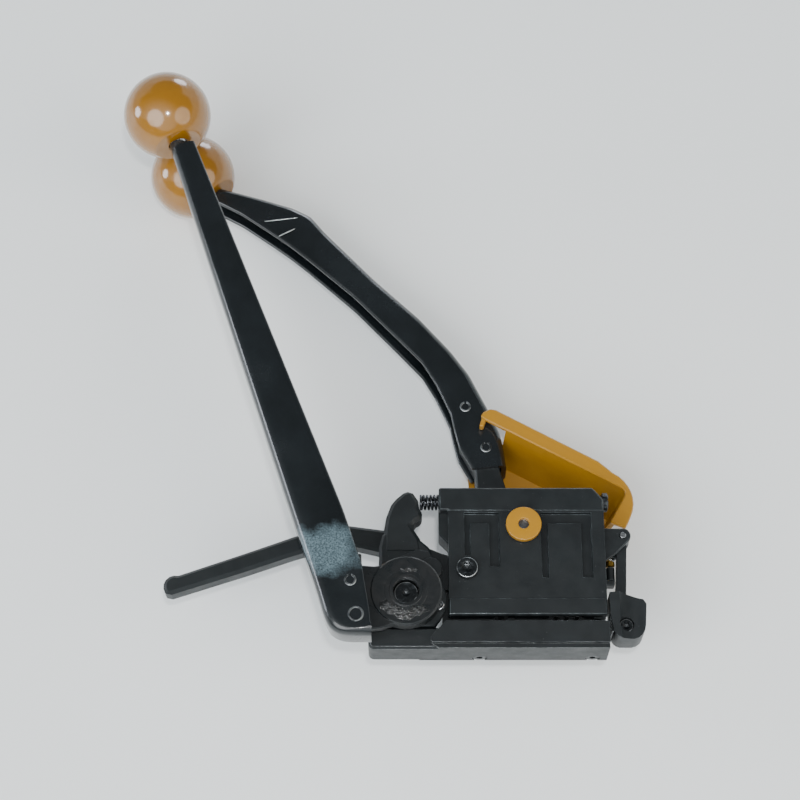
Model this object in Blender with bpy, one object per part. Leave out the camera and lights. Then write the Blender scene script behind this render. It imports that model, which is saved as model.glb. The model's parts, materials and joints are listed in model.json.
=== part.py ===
"""Hand-operated sealless strapping tool, lying on its back: it tensions, seals and cuts steel strap.

Every length below is in millimetres and MM turns it into metres. x and y are measured from the axis
of the sealing shaft, z from the surface that the tool lies on. x runs along the sole, y from the sole
towards the two ball knobs, and z from the back of the tool to its operator's side. All the hinge
axes run along z.
"""

import math

import bmesh
import bpy
from mathutils import Matrix, Vector

MM = 0.001
GAP = 0.3                      # clearance between neighbouring pieces
SHAFT = (80.85, -101.65)         # sealing shaft axis, from the middle of the whole tool

# levels of the tool's layers, from its back to its front
GUARD_RIM_Z = 43.5
BACK_Z, WALL_Z, CASE_Z = 45.0, 51.0, 60.0        # housing: back, inner face of back wall, front
PLATE_Z = 66.0                                   # front face of the front plate
FOOT_Z = 70.0                                    # front face of the base plate

# base plate and strap slot
SOLE_Y = -68.5
STRAP_Y = -54.5
CASE_BOTTOM_Y = -50.0
FOOT_LEFT_X, FOOT_RIGHT_X = -42.2, 43.8
TAIL_LEFT_X, TAIL_TOP_Y = -83.0, -57.0
HEEL_LEFT_X, HEEL_RIGHT_X = -56.0, -30.0
HEEL_LEAN = 20.5               # how far the heel leans under the housing, towards the knobs
BED_BACK_Z = WALL_Z + GAP      # the strap bed ends here, at a step for the housing's back wall

# housing
CASE_LEFT_X, CASE_RIGHT_X, CASE_TOP_Y = -45.3, 43.0, 22.0
BAR_LOW_Y = 9.0
ROD_Y, ROD_Z, ROD_R = 17.5, 55.0, 2.3

# facets round a turned piece
ROD_SIDES, DISC_SIDES = 16, 20

# joints
HUB = (-63.1, -41.5)           # feed shaft
PIVOT = (-30.6, -24.8)         # rocker pivot
GRIP = (53.8, -3.3)            # gripper pivot

# sealing drive
JOURNAL_R = 5.0
ECCENTRIC_R, ECCENTRIC_THROW, ECCENTRIC_START = 7.7, 2.61, math.radians(50)

# feed drive
WHEEL_R = 12.5
FEED_SHAFT_R = 6.5
RATCHET_R, RATCHET_TEETH = 12.6, 18
HUB_R, HUB_Z = 19.0, 81.0

# handles
KNOB_R, KNOB_FLAT = 25.0, 20.9
TENSION_KNOB = (-200.7, 246.8, 82.0)
SEALING_KNOB = (-190.8, 239.0, 25.0)
TENSION_Z, SEALING_Z = (72.0, 92.0), (13.0, 37.0)
CHANNEL_WALL, CHANNEL_BEND = 2.8, 5.0
TAPER_START, TAPER = 0.33, 0.7


# ---------------------------------------------------------------- scene, materials and tools

for old in list(bpy.data.objects):
    bpy.data.objects.remove(old, do_unlink=True)

parts = bpy.data.collections.new("strapping_tensioner_tool")
cutters = bpy.data.collections.new("cutters")
bpy.context.scene.collection.children.link(parts)
bpy.context.scene.collection.children.link(cutters)


def material(name, colour, roughness, metallic):
    made = bpy.data.materials.new(name)
    made.use_nodes = True
    shader = made.node_tree.nodes["Principled BSDF"]
    shader.inputs["Base Color"].default_value = (*colour, 1.0)
    shader.inputs["Roughness"].default_value = roughness
    shader.inputs["Metallic"].default_value = metallic
    made.diffuse_color = (*colour, 1.0)
    return made


BLACK_OXIDE = material("black_oxide_steel", (0.020, 0.023, 0.024), 0.45, 0.6)
BLACK_ENAMEL = material("black_enamel_steel", (0.008, 0.009, 0.011), 0.18, 0.0)
YELLOW_PAINT = material("yellow_enamel", (0.55, 0.32, 0.06), 0.35, 0.0)
YELLOW_KNOB = material("yellow_phenolic", (0.42, 0.21, 0.035), 0.15, 0.0)
BRIGHT_STEEL = material("bright_steel", (0.55, 0.55, 0.56), 0.3, 1.0)
TOOL_STEEL = material("hardened_tool_steel", (0.22, 0.22, 0.23), 0.35, 1.0)
BRASS = material("brass", (0.60, 0.42, 0.16), 0.35, 1.0)
BRONZE = material("sintered_bronze", (0.45, 0.27, 0.12), 0.5, 1.0)


def joint_empty(name, x, y):
    """An empty on a hinge axis; the pieces that turn together hang from it."""
    empty = bpy.data.objects.new(name, None)
    empty.empty_display_size = 0.01
    empty.location = ((SHAFT[0] + x) * MM, (SHAFT[1] + y) * MM, 0.0)
    parts.objects.link(empty)
    return empty


FIXED = joint_empty("tool_frame", 0.0, 0.0)
SEALING = joint_empty("sealing_axis", 0.0, 0.0)
SLIDING = joint_empty("slide_guide", 22.0, 0.0)
ROCKING = joint_empty("rocker_axis", *PIVOT)
FEEDING = joint_empty("feed_axis", *HUB)
TENSIONING = joint_empty("tension_axis", *HUB)
GRIPPING = joint_empty("gripper_axis", *GRIP)


def finish(name, body, finish_material, group):
    """Turn a bmesh in tool millimetres into a named object that hangs from its group's empty."""
    shift = Vector((SHAFT[0], SHAFT[1], 0.0)) * MM - group.location
    bmesh.ops.transform(body, matrix=Matrix.Translation(shift) @ Matrix.Scale(MM, 4), verts=body.verts)
    bmesh.ops.recalc_face_normals(body, faces=body.faces)
    mesh = bpy.data.meshes.new(name)
    body.to_mesh(mesh)
    body.free()
    mesh.materials.append(finish_material)
    mesh.shade_smooth()
    mesh.set_sharp_from_angle(angle=math.radians(32))
    made = bpy.data.objects.new(name, mesh)
    made.parent = group
    parts.objects.link(made)
    return made


def arc(cx, cy, radius, start, stop, steps):
    """Points on an arc about (cx, cy), its angles in degrees."""
    turns = [math.radians(start + (stop - start) * i / steps) for i in range(steps + 1)]
    return [(cx + radius * math.cos(t), cy + radius * math.sin(t)) for t in turns]


def slab(outline, low, high):
    """A flat outline in x and y, extruded from z low to z high."""
    curve = bpy.data.curves.new("outline", "CURVE")
    curve.dimensions, curve.fill_mode, curve.extrude = "2D", "BOTH", (high - low) / 2
    spline = curve.splines.new("POLY")
    spline.points.add(len(outline) - 1)
    for point, (x, y) in zip(spline.points, outline):
        point.co = (x, y, 0.0, 1.0)
    spline.use_cyclic_u = True
    holder = bpy.data.objects.new("outline", curve)
    cutters.objects.link(holder)
    body = mesh_of(holder)
    bmesh.ops.remove_doubles(body, verts=body.verts, dist=0.0001)
    bmesh.ops.dissolve_limit(body, angle_limit=0.001, verts=body.verts, edges=body.edges)
    bmesh.ops.translate(body, vec=(0, 0, (low + high) / 2), verts=body.verts)
    bmesh.ops.recalc_face_normals(body, faces=body.faces)
    return body


def mesh_of(holder):
    """The evaluated shape of a helper object as a bmesh; the helper is removed."""
    graph = bpy.context.evaluated_depsgraph_get()
    mesh = bpy.data.meshes.new_from_object(holder.evaluated_get(graph))
    body = bmesh.new()
    body.from_mesh(mesh)
    bpy.data.meshes.remove(mesh)
    bpy.data.objects.remove(holder, do_unlink=True)
    return body


def box(x0, x1, y0, y1, z0, z1):
    body = bmesh.new()
    middle = Vector(((x0 + x1) / 2, (y0 + y1) / 2, (z0 + z1) / 2))
    size = Matrix.Diagonal((x1 - x0, y1 - y0, z1 - z0, 1.0))
    bmesh.ops.create_cube(body, size=1.0, matrix=Matrix.Translation(middle) @ size)
    return body


def rod(start, stop, radius, end_radius=None, sides=ROD_SIDES):
    """A cylinder or cone between two points."""
    start, stop = Vector(start), Vector(stop)
    axis = stop - start
    turn = axis.to_track_quat("Z", "Y").to_matrix().to_4x4()
    body = bmesh.new()
    bmesh.ops.create_cone(
        body, cap_ends=True, segments=sides, radius1=radius,
        radius2=radius if end_radius is None else end_radius, depth=axis.length,
        matrix=Matrix.Translation((start + stop) / 2) @ turn)
    return body


def disc(centre, radius, low, high, sides=DISC_SIDES):
    return rod((*centre, low), (*centre, high), radius, sides=sides)


def soften(body, width, segments=1, limit=32):
    """Round the edges that are sharper than the limit, in degrees."""
    sharp = [e for e in body.edges if len(e.link_faces) == 2
             and e.calc_face_angle(0.0) > math.radians(limit)]
    bmesh.ops.bevel(body, geom=sharp, offset=width, offset_type="OFFSET", segments=segments,
                    profile=0.5, affect="EDGES", clamp_overlap=True)
    return body


def combine(body, others, operation):
    """Join or cut a bmesh with others by exact Booleans."""
    def holder_of(shape):
        mesh = bpy.data.meshes.new("solid")
        bmesh.ops.recalc_face_normals(shape, faces=shape.faces)
        shape.to_mesh(mesh)
        shape.free()
        holder = bpy.data.objects.new("solid", mesh)
        cutters.objects.link(holder)
        return holder

    base = holder_of(body)
    helpers = [holder_of(other) for other in others]
    for helper in helpers:
        modifier = base.modifiers.new("combine", "BOOLEAN")
        modifier.operation, modifier.solver, modifier.object = operation, "EXACT", helper
    result = mesh_of(base)
    for helper in helpers:
        bpy.data.objects.remove(helper, do_unlink=True)
    bmesh.ops.remove_doubles(result, verts=result.verts, dist=0.0005)
    bmesh.ops.dissolve_degenerate(result, edges=result.edges, dist=0.0005)
    return result


def join(body, *others):
    return combine(body, others, "UNION")


def cut(body, *others):
    return combine(body, others, "DIFFERENCE")


def ring(centre, inner, outer, low, high, sides=DISC_SIDES):
    """A bush or washer: a turned wall about an axis along z."""
    return cut(disc(centre, outer, low, high, sides), disc(centre, inner, low - 1, high + 1, sides))


def socket_screw(centre, head_r, head, shank_r, shank, key_r):
    """A cap screw along z with a hexagon socket; head and shank are (low, high) in z, head in front."""
    body = soften(disc(centre, head_r, *head, sides=20), 0.5)
    body = join(body, disc(centre, shank_r, shank[0], head[0] + 1.0, sides=16))
    return cut(body, disc(centre, key_r, (head[0] + head[1]) / 2, head[1] + 1, sides=6))


def coil(start, stop, radius, wire, turns):
    """A compression spring between two points, as a wire on a helix."""
    start, stop = Vector(start), Vector(stop)
    turn = (stop - start).to_track_quat("Z", "Y")
    steps = int(turns * 8)
    curve = bpy.data.curves.new("coil", "CURVE")
    curve.dimensions, curve.bevel_depth, curve.bevel_resolution = "3D", wire, 2
    curve.use_fill_caps = True
    spline = curve.splines.new("POLY")
    spline.points.add(steps)
    for i, point in enumerate(spline.points):
        angle = math.tau * turns * i / steps
        place = Vector((radius * math.cos(angle), radius * math.sin(angle),
                        (stop - start).length * i / steps))
        point.co = (*(start + turn @ place), 1.0)
    holder = bpy.data.objects.new("coil", curve)
    cutters.objects.link(holder)
    body = mesh_of(holder)
    bmesh.ops.remove_doubles(body, verts=body.verts, dist=0.0001)
    return body


def moved_aside(path, distance):
    """An open path shifted to its left by a distance, its corners mitred."""
    points = [Vector(p) for p in path]
    runs = [(b - a).normalized() for a, b in zip(points, points[1:])]
    sides = [Vector((-run.y, run.x)) for run in runs]
    shifted = []
    for i, point in enumerate(points):
        before, after = sides[max(i - 1, 0)], sides[min(i, len(sides) - 1)]
        mitre = (before + after).normalized()
        shifted.append(tuple(point + mitre * (distance / mitre.dot(after))))
    return shifted


def lengthened(path, at_start, at_end):
    """An open path whose two ends run on by the given distances."""
    points = [Vector(p) for p in path]
    first = points[0] + (points[0] - points[1]).normalized() * at_start
    last = points[-1] + (points[-1] - points[-2]).normalized() * at_end
    return [tuple(first)] + [tuple(p) for p in points[1:-1]] + [tuple(last)]


def round_along(body, path, radius):
    """Round the two long edges of a slab that lie over a path."""
    near = [Vector(p) for p in path]

    def on_path(vert):
        return any((vert.co.xy - p).length < 0.01 for p in near)

    edges = [e for e in body.edges if all(on_path(v) for v in e.verts)
             and abs(e.verts[0].co.z - e.verts[1].co.z) < 0.01]
    bmesh.ops.bevel(body, geom=edges, offset=radius, offset_type="OFFSET", segments=4,
                    profile=0.5, affect="EDGES", clamp_overlap=True)
    return body


def channel(web_path, free_path, inward, levels, end):
    """A pressed channel lever: closed along its web path and at its knob, open along its free path.

    Both paths run from the knob to the bottom. inward is 1 where the free side lies to the left of
    the web path, and -1 to its right. From TAPER_START of the way to the knob at end, the depth
    shrinks evenly to TAPER of itself.
    """
    low, high = levels
    body = round_along(slab(web_path + free_path[::-1], low, high), web_path, CHANNEL_BEND)
    inner_web = lengthened(moved_aside(web_path, inward * CHANNEL_WALL), -CHANNEL_WALL, 9.0)
    outside = lengthened(moved_aside(free_path, inward * 9.0), -CHANNEL_WALL, 9.0)
    hollow = slab(inner_web + outside[::-1], low + CHANNEL_WALL, high - CHANNEL_WALL)
    hollow = round_along(hollow, inner_web, CHANNEL_BEND - CHANNEL_WALL)
    body = cut(body, hollow)
    middle, reach = (low + high) / 2, Vector(end[:2]).length
    for vert in body.verts:
        along = vert.co.xy.dot(Vector(end[:2])) / reach**2
        share = min(1.0, max(0.0, (along - TAPER_START) / (1 - TAPER_START)))
        vert.co.z = middle + (vert.co.z - middle) * (1 + (TAPER - 1) * share)
    return body


def knob(centre, towards):
    """A moulded ball knob with the flat and the blind hole that its stud screws into."""
    axis = (Vector(towards) - Vector(centre)).normalized()
    body = bmesh.new()
    bmesh.ops.create_uvsphere(body, u_segments=24, v_segments=14, radius=KNOB_R,
                              matrix=Matrix.Translation(centre))
    flat = Vector(centre) + axis * KNOB_FLAT
    body = cut(body, rod(flat, flat + axis * 9, 22.0, sides=20))
    return cut(body, rod(Vector(centre) + axis * 2, flat + axis, 5.3, sides=16))


def stud(centre, towards, stop):
    """The threaded stud that a knob screws on, welded into the end of its channel."""
    axis = (Vector(towards) - Vector(centre)).normalized()
    start = Vector(centre) + axis * 2.6
    return soften(rod(start, Vector(centre) + axis * stop, 4.9, sides=16), 0.6)


# ---------------------------------------------------------------- base plate and strap slot

def base_plate():
    """Foot under the strap slot, tail under the feed wheel, and the leaning heel that the tool lies on."""
    foot_outline = [(FOOT_LEFT_X, STRAP_Y), (-49.8, -62.8), (-50.2, -65.0), (-48.2, -67.2),
                    (-46.0, SOLE_Y), (FOOT_RIGHT_X, SOLE_Y), (FOOT_RIGHT_X, STRAP_Y)]
    foot = slab(foot_outline, BACK_Z, FOOT_Z)
    lip = slab([(-60, -75), (60, -75), (60, -66.0), (-60, -66.0)], FOOT_Z - 2.5, FOOT_Z + 5)
    tail_outline = ([(TAIL_LEFT_X, -61.0)] + arc(-80.0, -60.0, 3.0, 180, 90, 4)
                    + [(-40.0, TAIL_TOP_Y), (-40.0, SOLE_Y)] + arc(-80.0, -65.5, 3.0, -90, -180, 4))
    tail = soften(slab(tail_outline, BACK_Z, 66.0), 1.2)
    heel = box(HEEL_LEFT_X, HEEL_RIGHT_X, SOLE_Y, TAIL_TOP_Y, 0.0, BACK_Z)
    for vert in heel.verts:
        vert.co.y += HEEL_LEAN * (1 - vert.co.z / BACK_Z)
    socket = box(HEEL_LEFT_X, HEEL_RIGHT_X, SOLE_Y + 1.0, TAIL_TOP_Y - 1.0, BACK_Z - 0.6, BACK_Z + 2)
    back_step = box(-60, 60, STRAP_Y - 2 * GAP, STRAP_Y + 5, BACK_Z - 5, BED_BACK_Z)
    body = join(cut(foot, lip, back_step), tail, heel, socket)
    die_pocket = box(12.0, 32.0, -58.2, -54.0, 52.0, 66.2)
    plug_pocket = rod((HUB[0], -63.0, PLUG_Z), (HUB[0], -50.0, PLUG_Z), 5.3)
    screw_holes = []
    for x in BASE_SCREW_X:
        screw_holes += [rod((x, -80, 48), (x, -50, 48), 2.4, sides=12),
                        rod((x, -80, 48), (x, -63.9, 48), 4.1, sides=16)]
    return cut(body, die_pocket, plug_pocket, *screw_holes)


BASE_SCREW_X = (-24.0, 36.0)


def base_screw(x):
    """Cap screw that comes up through the sole into the back wall of the housing."""
    head = rod((x, -68.0, 48), (x, -64.2, 48), 3.8)
    body = join(head, rod((x, -65, 48), (x, -46.5, 48), 2.1, sides=12))
    return cut(body, rod((x, -69, 48), (x, -66, 48), 1.8, sides=6))


def lower_die():
    """Hardened die in the base, with the grooves that the punches press the strap into."""
    body = box(12.3, 31.7, -57.9, STRAP_Y, 52.3, 65.9)
    grooves = [box(x - 1.4, x + 1.4, -56.0, -50, 50, 68) for x in PUNCH_X]
    return cut(body, *grooves)


PUNCH_X = (16.5, 22.0, 27.5)


PLUG_Z = 56.7


def anvil_plug():
    """Ribbed round plug under the feed wheel."""
    body = rod((HUB[0], -62.7, PLUG_Z), (HUB[0], STRAP_Y, PLUG_Z), 4.9, sides=20)
    grooves = [box(HUB[0] + x - 0.35, HUB[0] + x + 0.35, -55.0, -50, 45, 70) for x in (-3, -1, 1, 3)]
    return cut(body, *grooves)


# ---------------------------------------------------------------- housing

def housing():
    """Body behind the front plate: back wall, top bar and right wall, and the gripper's lug."""
    outline = [(CASE_LEFT_X, CASE_TOP_Y), (CASE_LEFT_X, -3.0), (-40.5, -8.0), (-37.5, -12.0),
               (-37.5, -28.0), (-43.6, -34.0), (-43.6, STRAP_Y - GAP), (CASE_RIGHT_X, STRAP_Y - GAP), (CASE_RIGHT_X, 15.5),
               (37.8, CASE_TOP_Y)]
    body = soften(slab(outline, BACK_Z, CASE_Z), 0.6)
    lug_outline = ([(41.0, 1.0), (49.0, 0.8)] + arc(*GRIP, 4.3, 75, -50, 8)
                   + [(50.0, -13.5), (44.0, -18.0), (41.0, -18.0)])
    lugs = [soften(slab(lug_outline, low, high), 0.5) for low, high in ((46.0, 50.4), (56.4, 59.9))]
    shelf = soften(box(41.0, 48.8, -30.6, -27.6, 50.2, 57.0), 0.5)
    body = join(body, *lugs, shelf)
    cavity = [(-33.0, BAR_LOW_Y), (-33.0, -9.0), (-50.0, -9.0), (-50.0, -60.0), (50.0, -60.0),
              (50.0, CASE_BOTTOM_Y), (36.9, CASE_BOTTOM_Y), (36.9, BAR_LOW_Y), (16.6, BAR_LOW_Y),
              (16.6, 12.7), (-16.9, 12.7), (-16.9, BAR_LOW_Y)]
    holes = [slab(cavity, WALL_Z, CASE_Z + 1),
             rod((-56, ROD_Y, ROD_Z), (-35.0, ROD_Y, ROD_Z), 5.2),
             rod((-60, ROD_Y, ROD_Z), (60, ROD_Y, ROD_Z), ROD_R + GAP, sides=12),
             disc((0, 0), 8.0, 40, WALL_Z + 1),
             disc(PIVOT, 3.2, 40, WALL_Z + 1, sides=16),
             disc(GRIP, 2.0, 40, 65, sides=12)]
    for x in BASE_SCREW_X:
        holes.append(rod((x, -60, 48), (x, -45.5, 48), 2.4, sides=12))
    for spot in PLATE_SCREWS:
        holes += [disc(spot, 2.3, 40, CASE_Z + 1, sides=12), disc(spot, 3.9, 40, BACK_Z + 3.6, sides=16)]
    return cut(body, *holes)


PLATE_SCREWS = ((-27.0, 11.4), (30.0, 11.4), (40.0, -40.0))


def plate_screw(spot):
    """Cap screw from the back wall through the housing into the front plate."""
    head = disc(spot, 3.6, BACK_Z + 0.2, BACK_Z + 3.3, sides=16)
    body = join(head, disc(spot, 2.0, BACK_Z + 3, 63.5, sides=12))
    return cut(body, disc(spot, 1.7, 40, BACK_Z + 2.0, sides=6))


def front_plate():
    """Cast front plate: raised top bar, and two pads that stand in pockets."""
    outline = [(CASE_LEFT_X, CASE_TOP_Y), (CASE_LEFT_X, BAR_LOW_Y), (-40.4, BAR_LOW_Y), (-40.4, CASE_BOTTOM_Y),
               (43.4, CASE_BOTTOM_Y), (43.4, 15.5), (37.8, CASE_TOP_Y)]
    body = soften(slab(outline, CASE_Z + GAP, PLATE_Z), 0.7)
    step = box(-50, 50, -41.0, BAR_LOW_Y, PLATE_Z - 0.7, PLATE_Z + 1)
    pockets = []
    for left, right, low, block_left, block_right in PLATE_POCKETS:
        pockets += [box(block_right, right, low, 7.8, 62.3, 70), box(left, block_right + 0.1, 1.5, 7.8, 62.3, 70),
                    box(left, block_left, low + (6.2 if left < 0 else 0), 7.7, 62.3, 70)]
    holes = [disc((0, 0), 8.0, 55, 70), disc(PIVOT, 3.2, 55, 70, sides=16),
             box(-16.4, -5.4, -55, -39, 55, 63.3), box(12.6, 31.4, -55, -39, 55, 63.3)]
    holes += [disc(spot, 2.3, 50, 63.9, sides=12) for spot in PLATE_SCREWS]
    return cut(body, step, *pockets, *holes)


PLATE_POCKETS = ((-31.8, -13.0, -22.9, -28.6, -18.4), (9.6, 36.6, -29.1, 13.0, 31.0))


def spring_rod():
    """Headed rod through the top bar that guides the rocker's spring."""
    body = rod((-51.5, ROD_Y, ROD_Z), (44.5, ROD_Y, ROD_Z), ROD_R, sides=12)
    head = soften(rod((CASE_RIGHT_X + GAP, ROD_Y, ROD_Z), (46.8, ROD_Y, ROD_Z), 5.2, sides=20), 0.6)
    return cut(join(body, head), box(46.0, 48.0, ROD_Y - 0.6, ROD_Y + 0.6, 45, 65))


# ---------------------------------------------------------------- punch slide

def punch_slide():
    """Carriage that the eccentric drives down: a yoke, and a leg each for the cutter and punches."""
    outline = [(-16.0, 12.2), (-16.0, -44.0), (-6.0, -44.0), (-6.0, -13.0), (13.0, -13.0),
               (13.0, -44.0), (31.0, -44.0), (31.0, 1.5), (15.0, 5.0), (15.0, 12.2)]
    body = soften(slab(outline, WALL_Z + 0.6, CASE_Z - GAP), 0.5)
    rise = ECCENTRIC_THROW * math.sin(ECCENTRIC_START)
    half_wide, half_high = ECCENTRIC_R + ECCENTRIC_THROW + 0.5, ECCENTRIC_R + 0.3
    window = [(x, y + rise) for x, y in
              arc(half_wide - 3, half_high - 3, 3, 0, 90, 4) + arc(-half_wide + 3, half_high - 3, 3, 90, 180, 4)
              + arc(-half_wide + 3, -half_high + 3, 3, 180, 270, 4)
              + arc(half_wide - 3, -half_high + 3, 3, 270, 360, 4)]
    return cut(body, slab(window, 40, 70))


def punches():
    """Punch block with three blades over the die's grooves."""
    body = soften(box(13.2, 30.8, -47.6, -44.3, WALL_Z + 0.8, 62.9), 0.4)
    blades = [box(x - 1.0, x + 1.0, -49.9, -47.0, WALL_Z + 1.6, 62.4) for x in PUNCH_X]
    return join(body, *blades)


def cutter_blade():
    """Blade that shears the free end of the strap."""
    outline = [(-15.6, -44.3), (-15.6, -48.2), (-14.4, -49.8), (-11.0, -49.8), (-6.4, -44.3)]
    return slab(outline, WALL_Z + 0.8, 62.9)


# ---------------------------------------------------------------- sealing shaft, lever and guard

def sealing_shaft():
    """Shaft with an eccentric between its two bearings."""
    rise = (ECCENTRIC_THROW * math.cos(ECCENTRIC_START), ECCENTRIC_THROW * math.sin(ECCENTRIC_START))
    body = soften(disc((0, 0), JOURNAL_R, 1.4, 66.3), 0.5)
    body = join(body, disc(rise, ECCENTRIC_R, WALL_Z + 0.8, CASE_Z - 0.5))
    return cut(body, box(3.3, 6.0, -1.8, 1.8, 11.8, 38.2))


def sealing_key():
    return soften(box(3.6, 7.2, -1.5, 1.5, 12.1, 37.9), 0.3)


def shaft_nut():
    """Hexagon nut on the back end of the sealing shaft."""
    return cut(soften(disc((0, 0), 8.6, 1.2, 7.6, sides=6), 0.5), disc((0, 0), JOURNAL_R + GAP, 0, 9))


def shaft_cap():
    """Painted washer that covers the front bearing."""
    return soften(ring((0, 0), 2.9, 9.5, 66.6, 69.7, sides=20), 0.4)


ARM_HUB_R = 17.0


def sealing_arm():
    """Cast arm: a hub on the shaft, and a shank that fills the bottom of the channel."""
    shank = [(-15.0, 6.0), (-23.3, 33.0), (-24.2, 46.0), (-32.3, 62.0), (-34.3, 74.0), (-36.0, 84.0),
             (-31.0, 96.0), (-27.4, 96.5), (-19.1, 79.5), (-13.6, 67.0), (-11.0, 52.0), (-10.5, 46.0),
             (-7.0, 34.0), (4.0, 10.0)]
    body = soften(slab(shank, 16.2, 33.8), 0.8)
    hub = soften(disc((0, 0), ARM_HUB_R, 8.0, 42.0, sides=32), 1.2)
    body = join(hub, body)
    holes = [disc((0, 0), JOURNAL_R + GAP, 0, 60), box(0, 7.5, -1.8, 1.8, 0, 60)]
    holes += [disc(spot, 2.2, 5, 22, sides=12) for spot in GUARD_SCREWS]
    holes += [disc(spot, 3.5, 0, 60, sides=16) for spot in SEALING_PINS]
    return cut(body, *holes)


GUARD_SCREWS = tuple(arc(0, 0, 12.6, 90, 330, 2))
SEALING_PINS = ((-29.3, 82.6), (-18.0, 57.8))


def roll_pin(spot, radius, low, high):
    """Slotted spring pin: rolled sheet with an open seam."""
    x, y = spot
    body = soften(disc(spot, radius, low, high, sides=20), 0.3)
    seam = box(x - 0.5, x + 0.5, y, y + 9, low - 1, high + 1)
    return cut(body, disc(spot, radius - 1.1, low - 1, high + 1, sides=12), seam)


# the web runs along the upper right side, from the knob down to the arm
SEALING_WEB = ([(-172.0, 227.6), (-128.0, 213.6)] + arc(-131.5, 196.5, 17.5, 74, 42, 3)
               + [(-80.4, 164.9), (-54.7, 139.8), (-37.0, 119.0), (-26.7, 104.2), (-15.5, 81.0),
                  (-9.7, 67.6), (-6.6, 47.0)])
SEALING_FREE = [(-178.8, 218.8), (-155.0, 205.3), (-123.2, 180.4), (-94.8, 154.5), (-71.6, 129.5),
                (-56.3, 114.3), (-48.0, 101.0), (-40.8, 86.0), (-37.2, 77.0), (-35.0, 62.0),
                (-26.2, 45.0)]


def sealing_channel():
    body = channel(SEALING_WEB, SEALING_FREE, -1, SEALING_Z, SEALING_KNOB)
    return cut(body, *[disc(spot, 3.5, 0, 60, sides=16) for spot in SEALING_PINS])


GUARD_WALL = 2.6
GUARD_DRAFT = 6.5
GUARD_START, GUARD_STOP = (-7.0, 65.7), (50.9, 12.8)
GUARD_CORNER, GUARD_CORNER_R, GUARD_TURNS = (53.9, 27.5), 4.6, (62.0, -29.0)


def guard_line(inset, radius):
    """The line of the guard's wall at an inset from its rim, the corner rounded to a radius."""
    first, last = [math.radians(turn) for turn in GUARD_TURNS]
    reach = (GUARD_CORNER_R - inset - radius) / math.cos((first - last) / 2)
    middle = (first + last) / 2
    centre = (GUARD_CORNER[0] + reach * math.cos(middle), GUARD_CORNER[1] + reach * math.sin(middle))
    start = (GUARD_START[0] - inset * math.cos(first), GUARD_START[1] - inset * math.sin(first))
    stop = (GUARD_STOP[0] - inset * math.cos(last), GUARD_STOP[1] - inset * math.sin(last))
    return [start] + arc(*centre, radius, *GUARD_TURNS, 4) + [stop]


def sealing_guard():
    """Tray-shaped guard that turns with the arm: floor, drafted wall, rim and a hook over the lever."""
    floor_outline = (guard_line(3.2, 4.3) + [(40.0, 2.0), (20.0, -9.0)] + arc(0, 0, 20.0, -30, -190, 10)
                     + [(-26.8, 47.2), (-27.9, 60.8), (-12.0, 62.0)])
    floor = slab(floor_outline, 0.0, 3.2)
    lines = [(guard_line(GUARD_DRAFT, 1.0), 0.8), (guard_line(0.0, GUARD_CORNER_R), 41.6),
             (guard_line(-GUARD_WALL, GUARD_CORNER_R + GUARD_WALL), 41.6),
             (guard_line(GUARD_DRAFT - GUARD_WALL, 1.0 + GUARD_WALL), 0.8)]
    wall = bmesh.new()
    rings = [[wall.verts.new((*line[i], level)) for line, level in lines] for i in range(len(lines[0][0]))]
    for one, two in zip(rings, rings[1:]):
        for i in range(4):
            wall.faces.new((one[i], one[(i + 1) % 4], two[(i + 1) % 4], two[i]))
    wall.faces.new(rings[0])
    wall.faces.new(rings[-1][::-1])
    inner = [(-20.2, 72.9)] + guard_line(0.5, GUARD_CORNER_R - 0.5)[1:] + [(48.9, 10.6)]
    outer = ([(-20.9, 74.4), (-19.4, 76.6), (-15.6, 78.6), (-12.4, 78.0), (19.0, 60.7), (44.1, 46.8)]
             + arc(42.6, 22.3, 19.9, 62, -25, 8) + [(57.6, 7.2)])
    rim = soften(slab(inner + outer[::-1], 40.3, GUARD_RIM_Z), 0.7)
    hook = soften(slab([(-21.8, 68.2), (-19.6, 67.6), (-17.2, 74.0), (-19.6, 75.4)],
                       37.6, GUARD_RIM_Z - 0.3), 0.6, 1)
    bosses = [disc(spot, 3.5, 2.0, 7.7, sides=16) for spot in GUARD_SCREWS]
    body = join(floor, wall, rim, hook, *bosses)
    holes = [disc((0, 0), 9.2, -1, 5)]
    for spot in GUARD_SCREWS:
        holes += [disc(spot, 2.2, -1, 9, sides=12), disc(spot, 3.4, -1, 1.9, sides=16)]
    return cut(body, *holes)


def guard_screw(spot):
    """Countersunk screw through the guard's floor and boss into the arm's hub."""
    body = join(disc(spot, 3.1, 0.3, 1.6, sides=16), disc(spot, 1.9, 1.2, 21.0, sides=12))
    return cut(body, box(spot[0] - 3, spot[0] + 3, spot[1] - 0.4, spot[1] + 0.4, -1, 0.9))


# ---------------------------------------------------------------- rocker and feed drive

ROCKER_SPAN = ((46.0, 51.4), (62.0, 66.3))       # back cheek and front cheek


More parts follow.
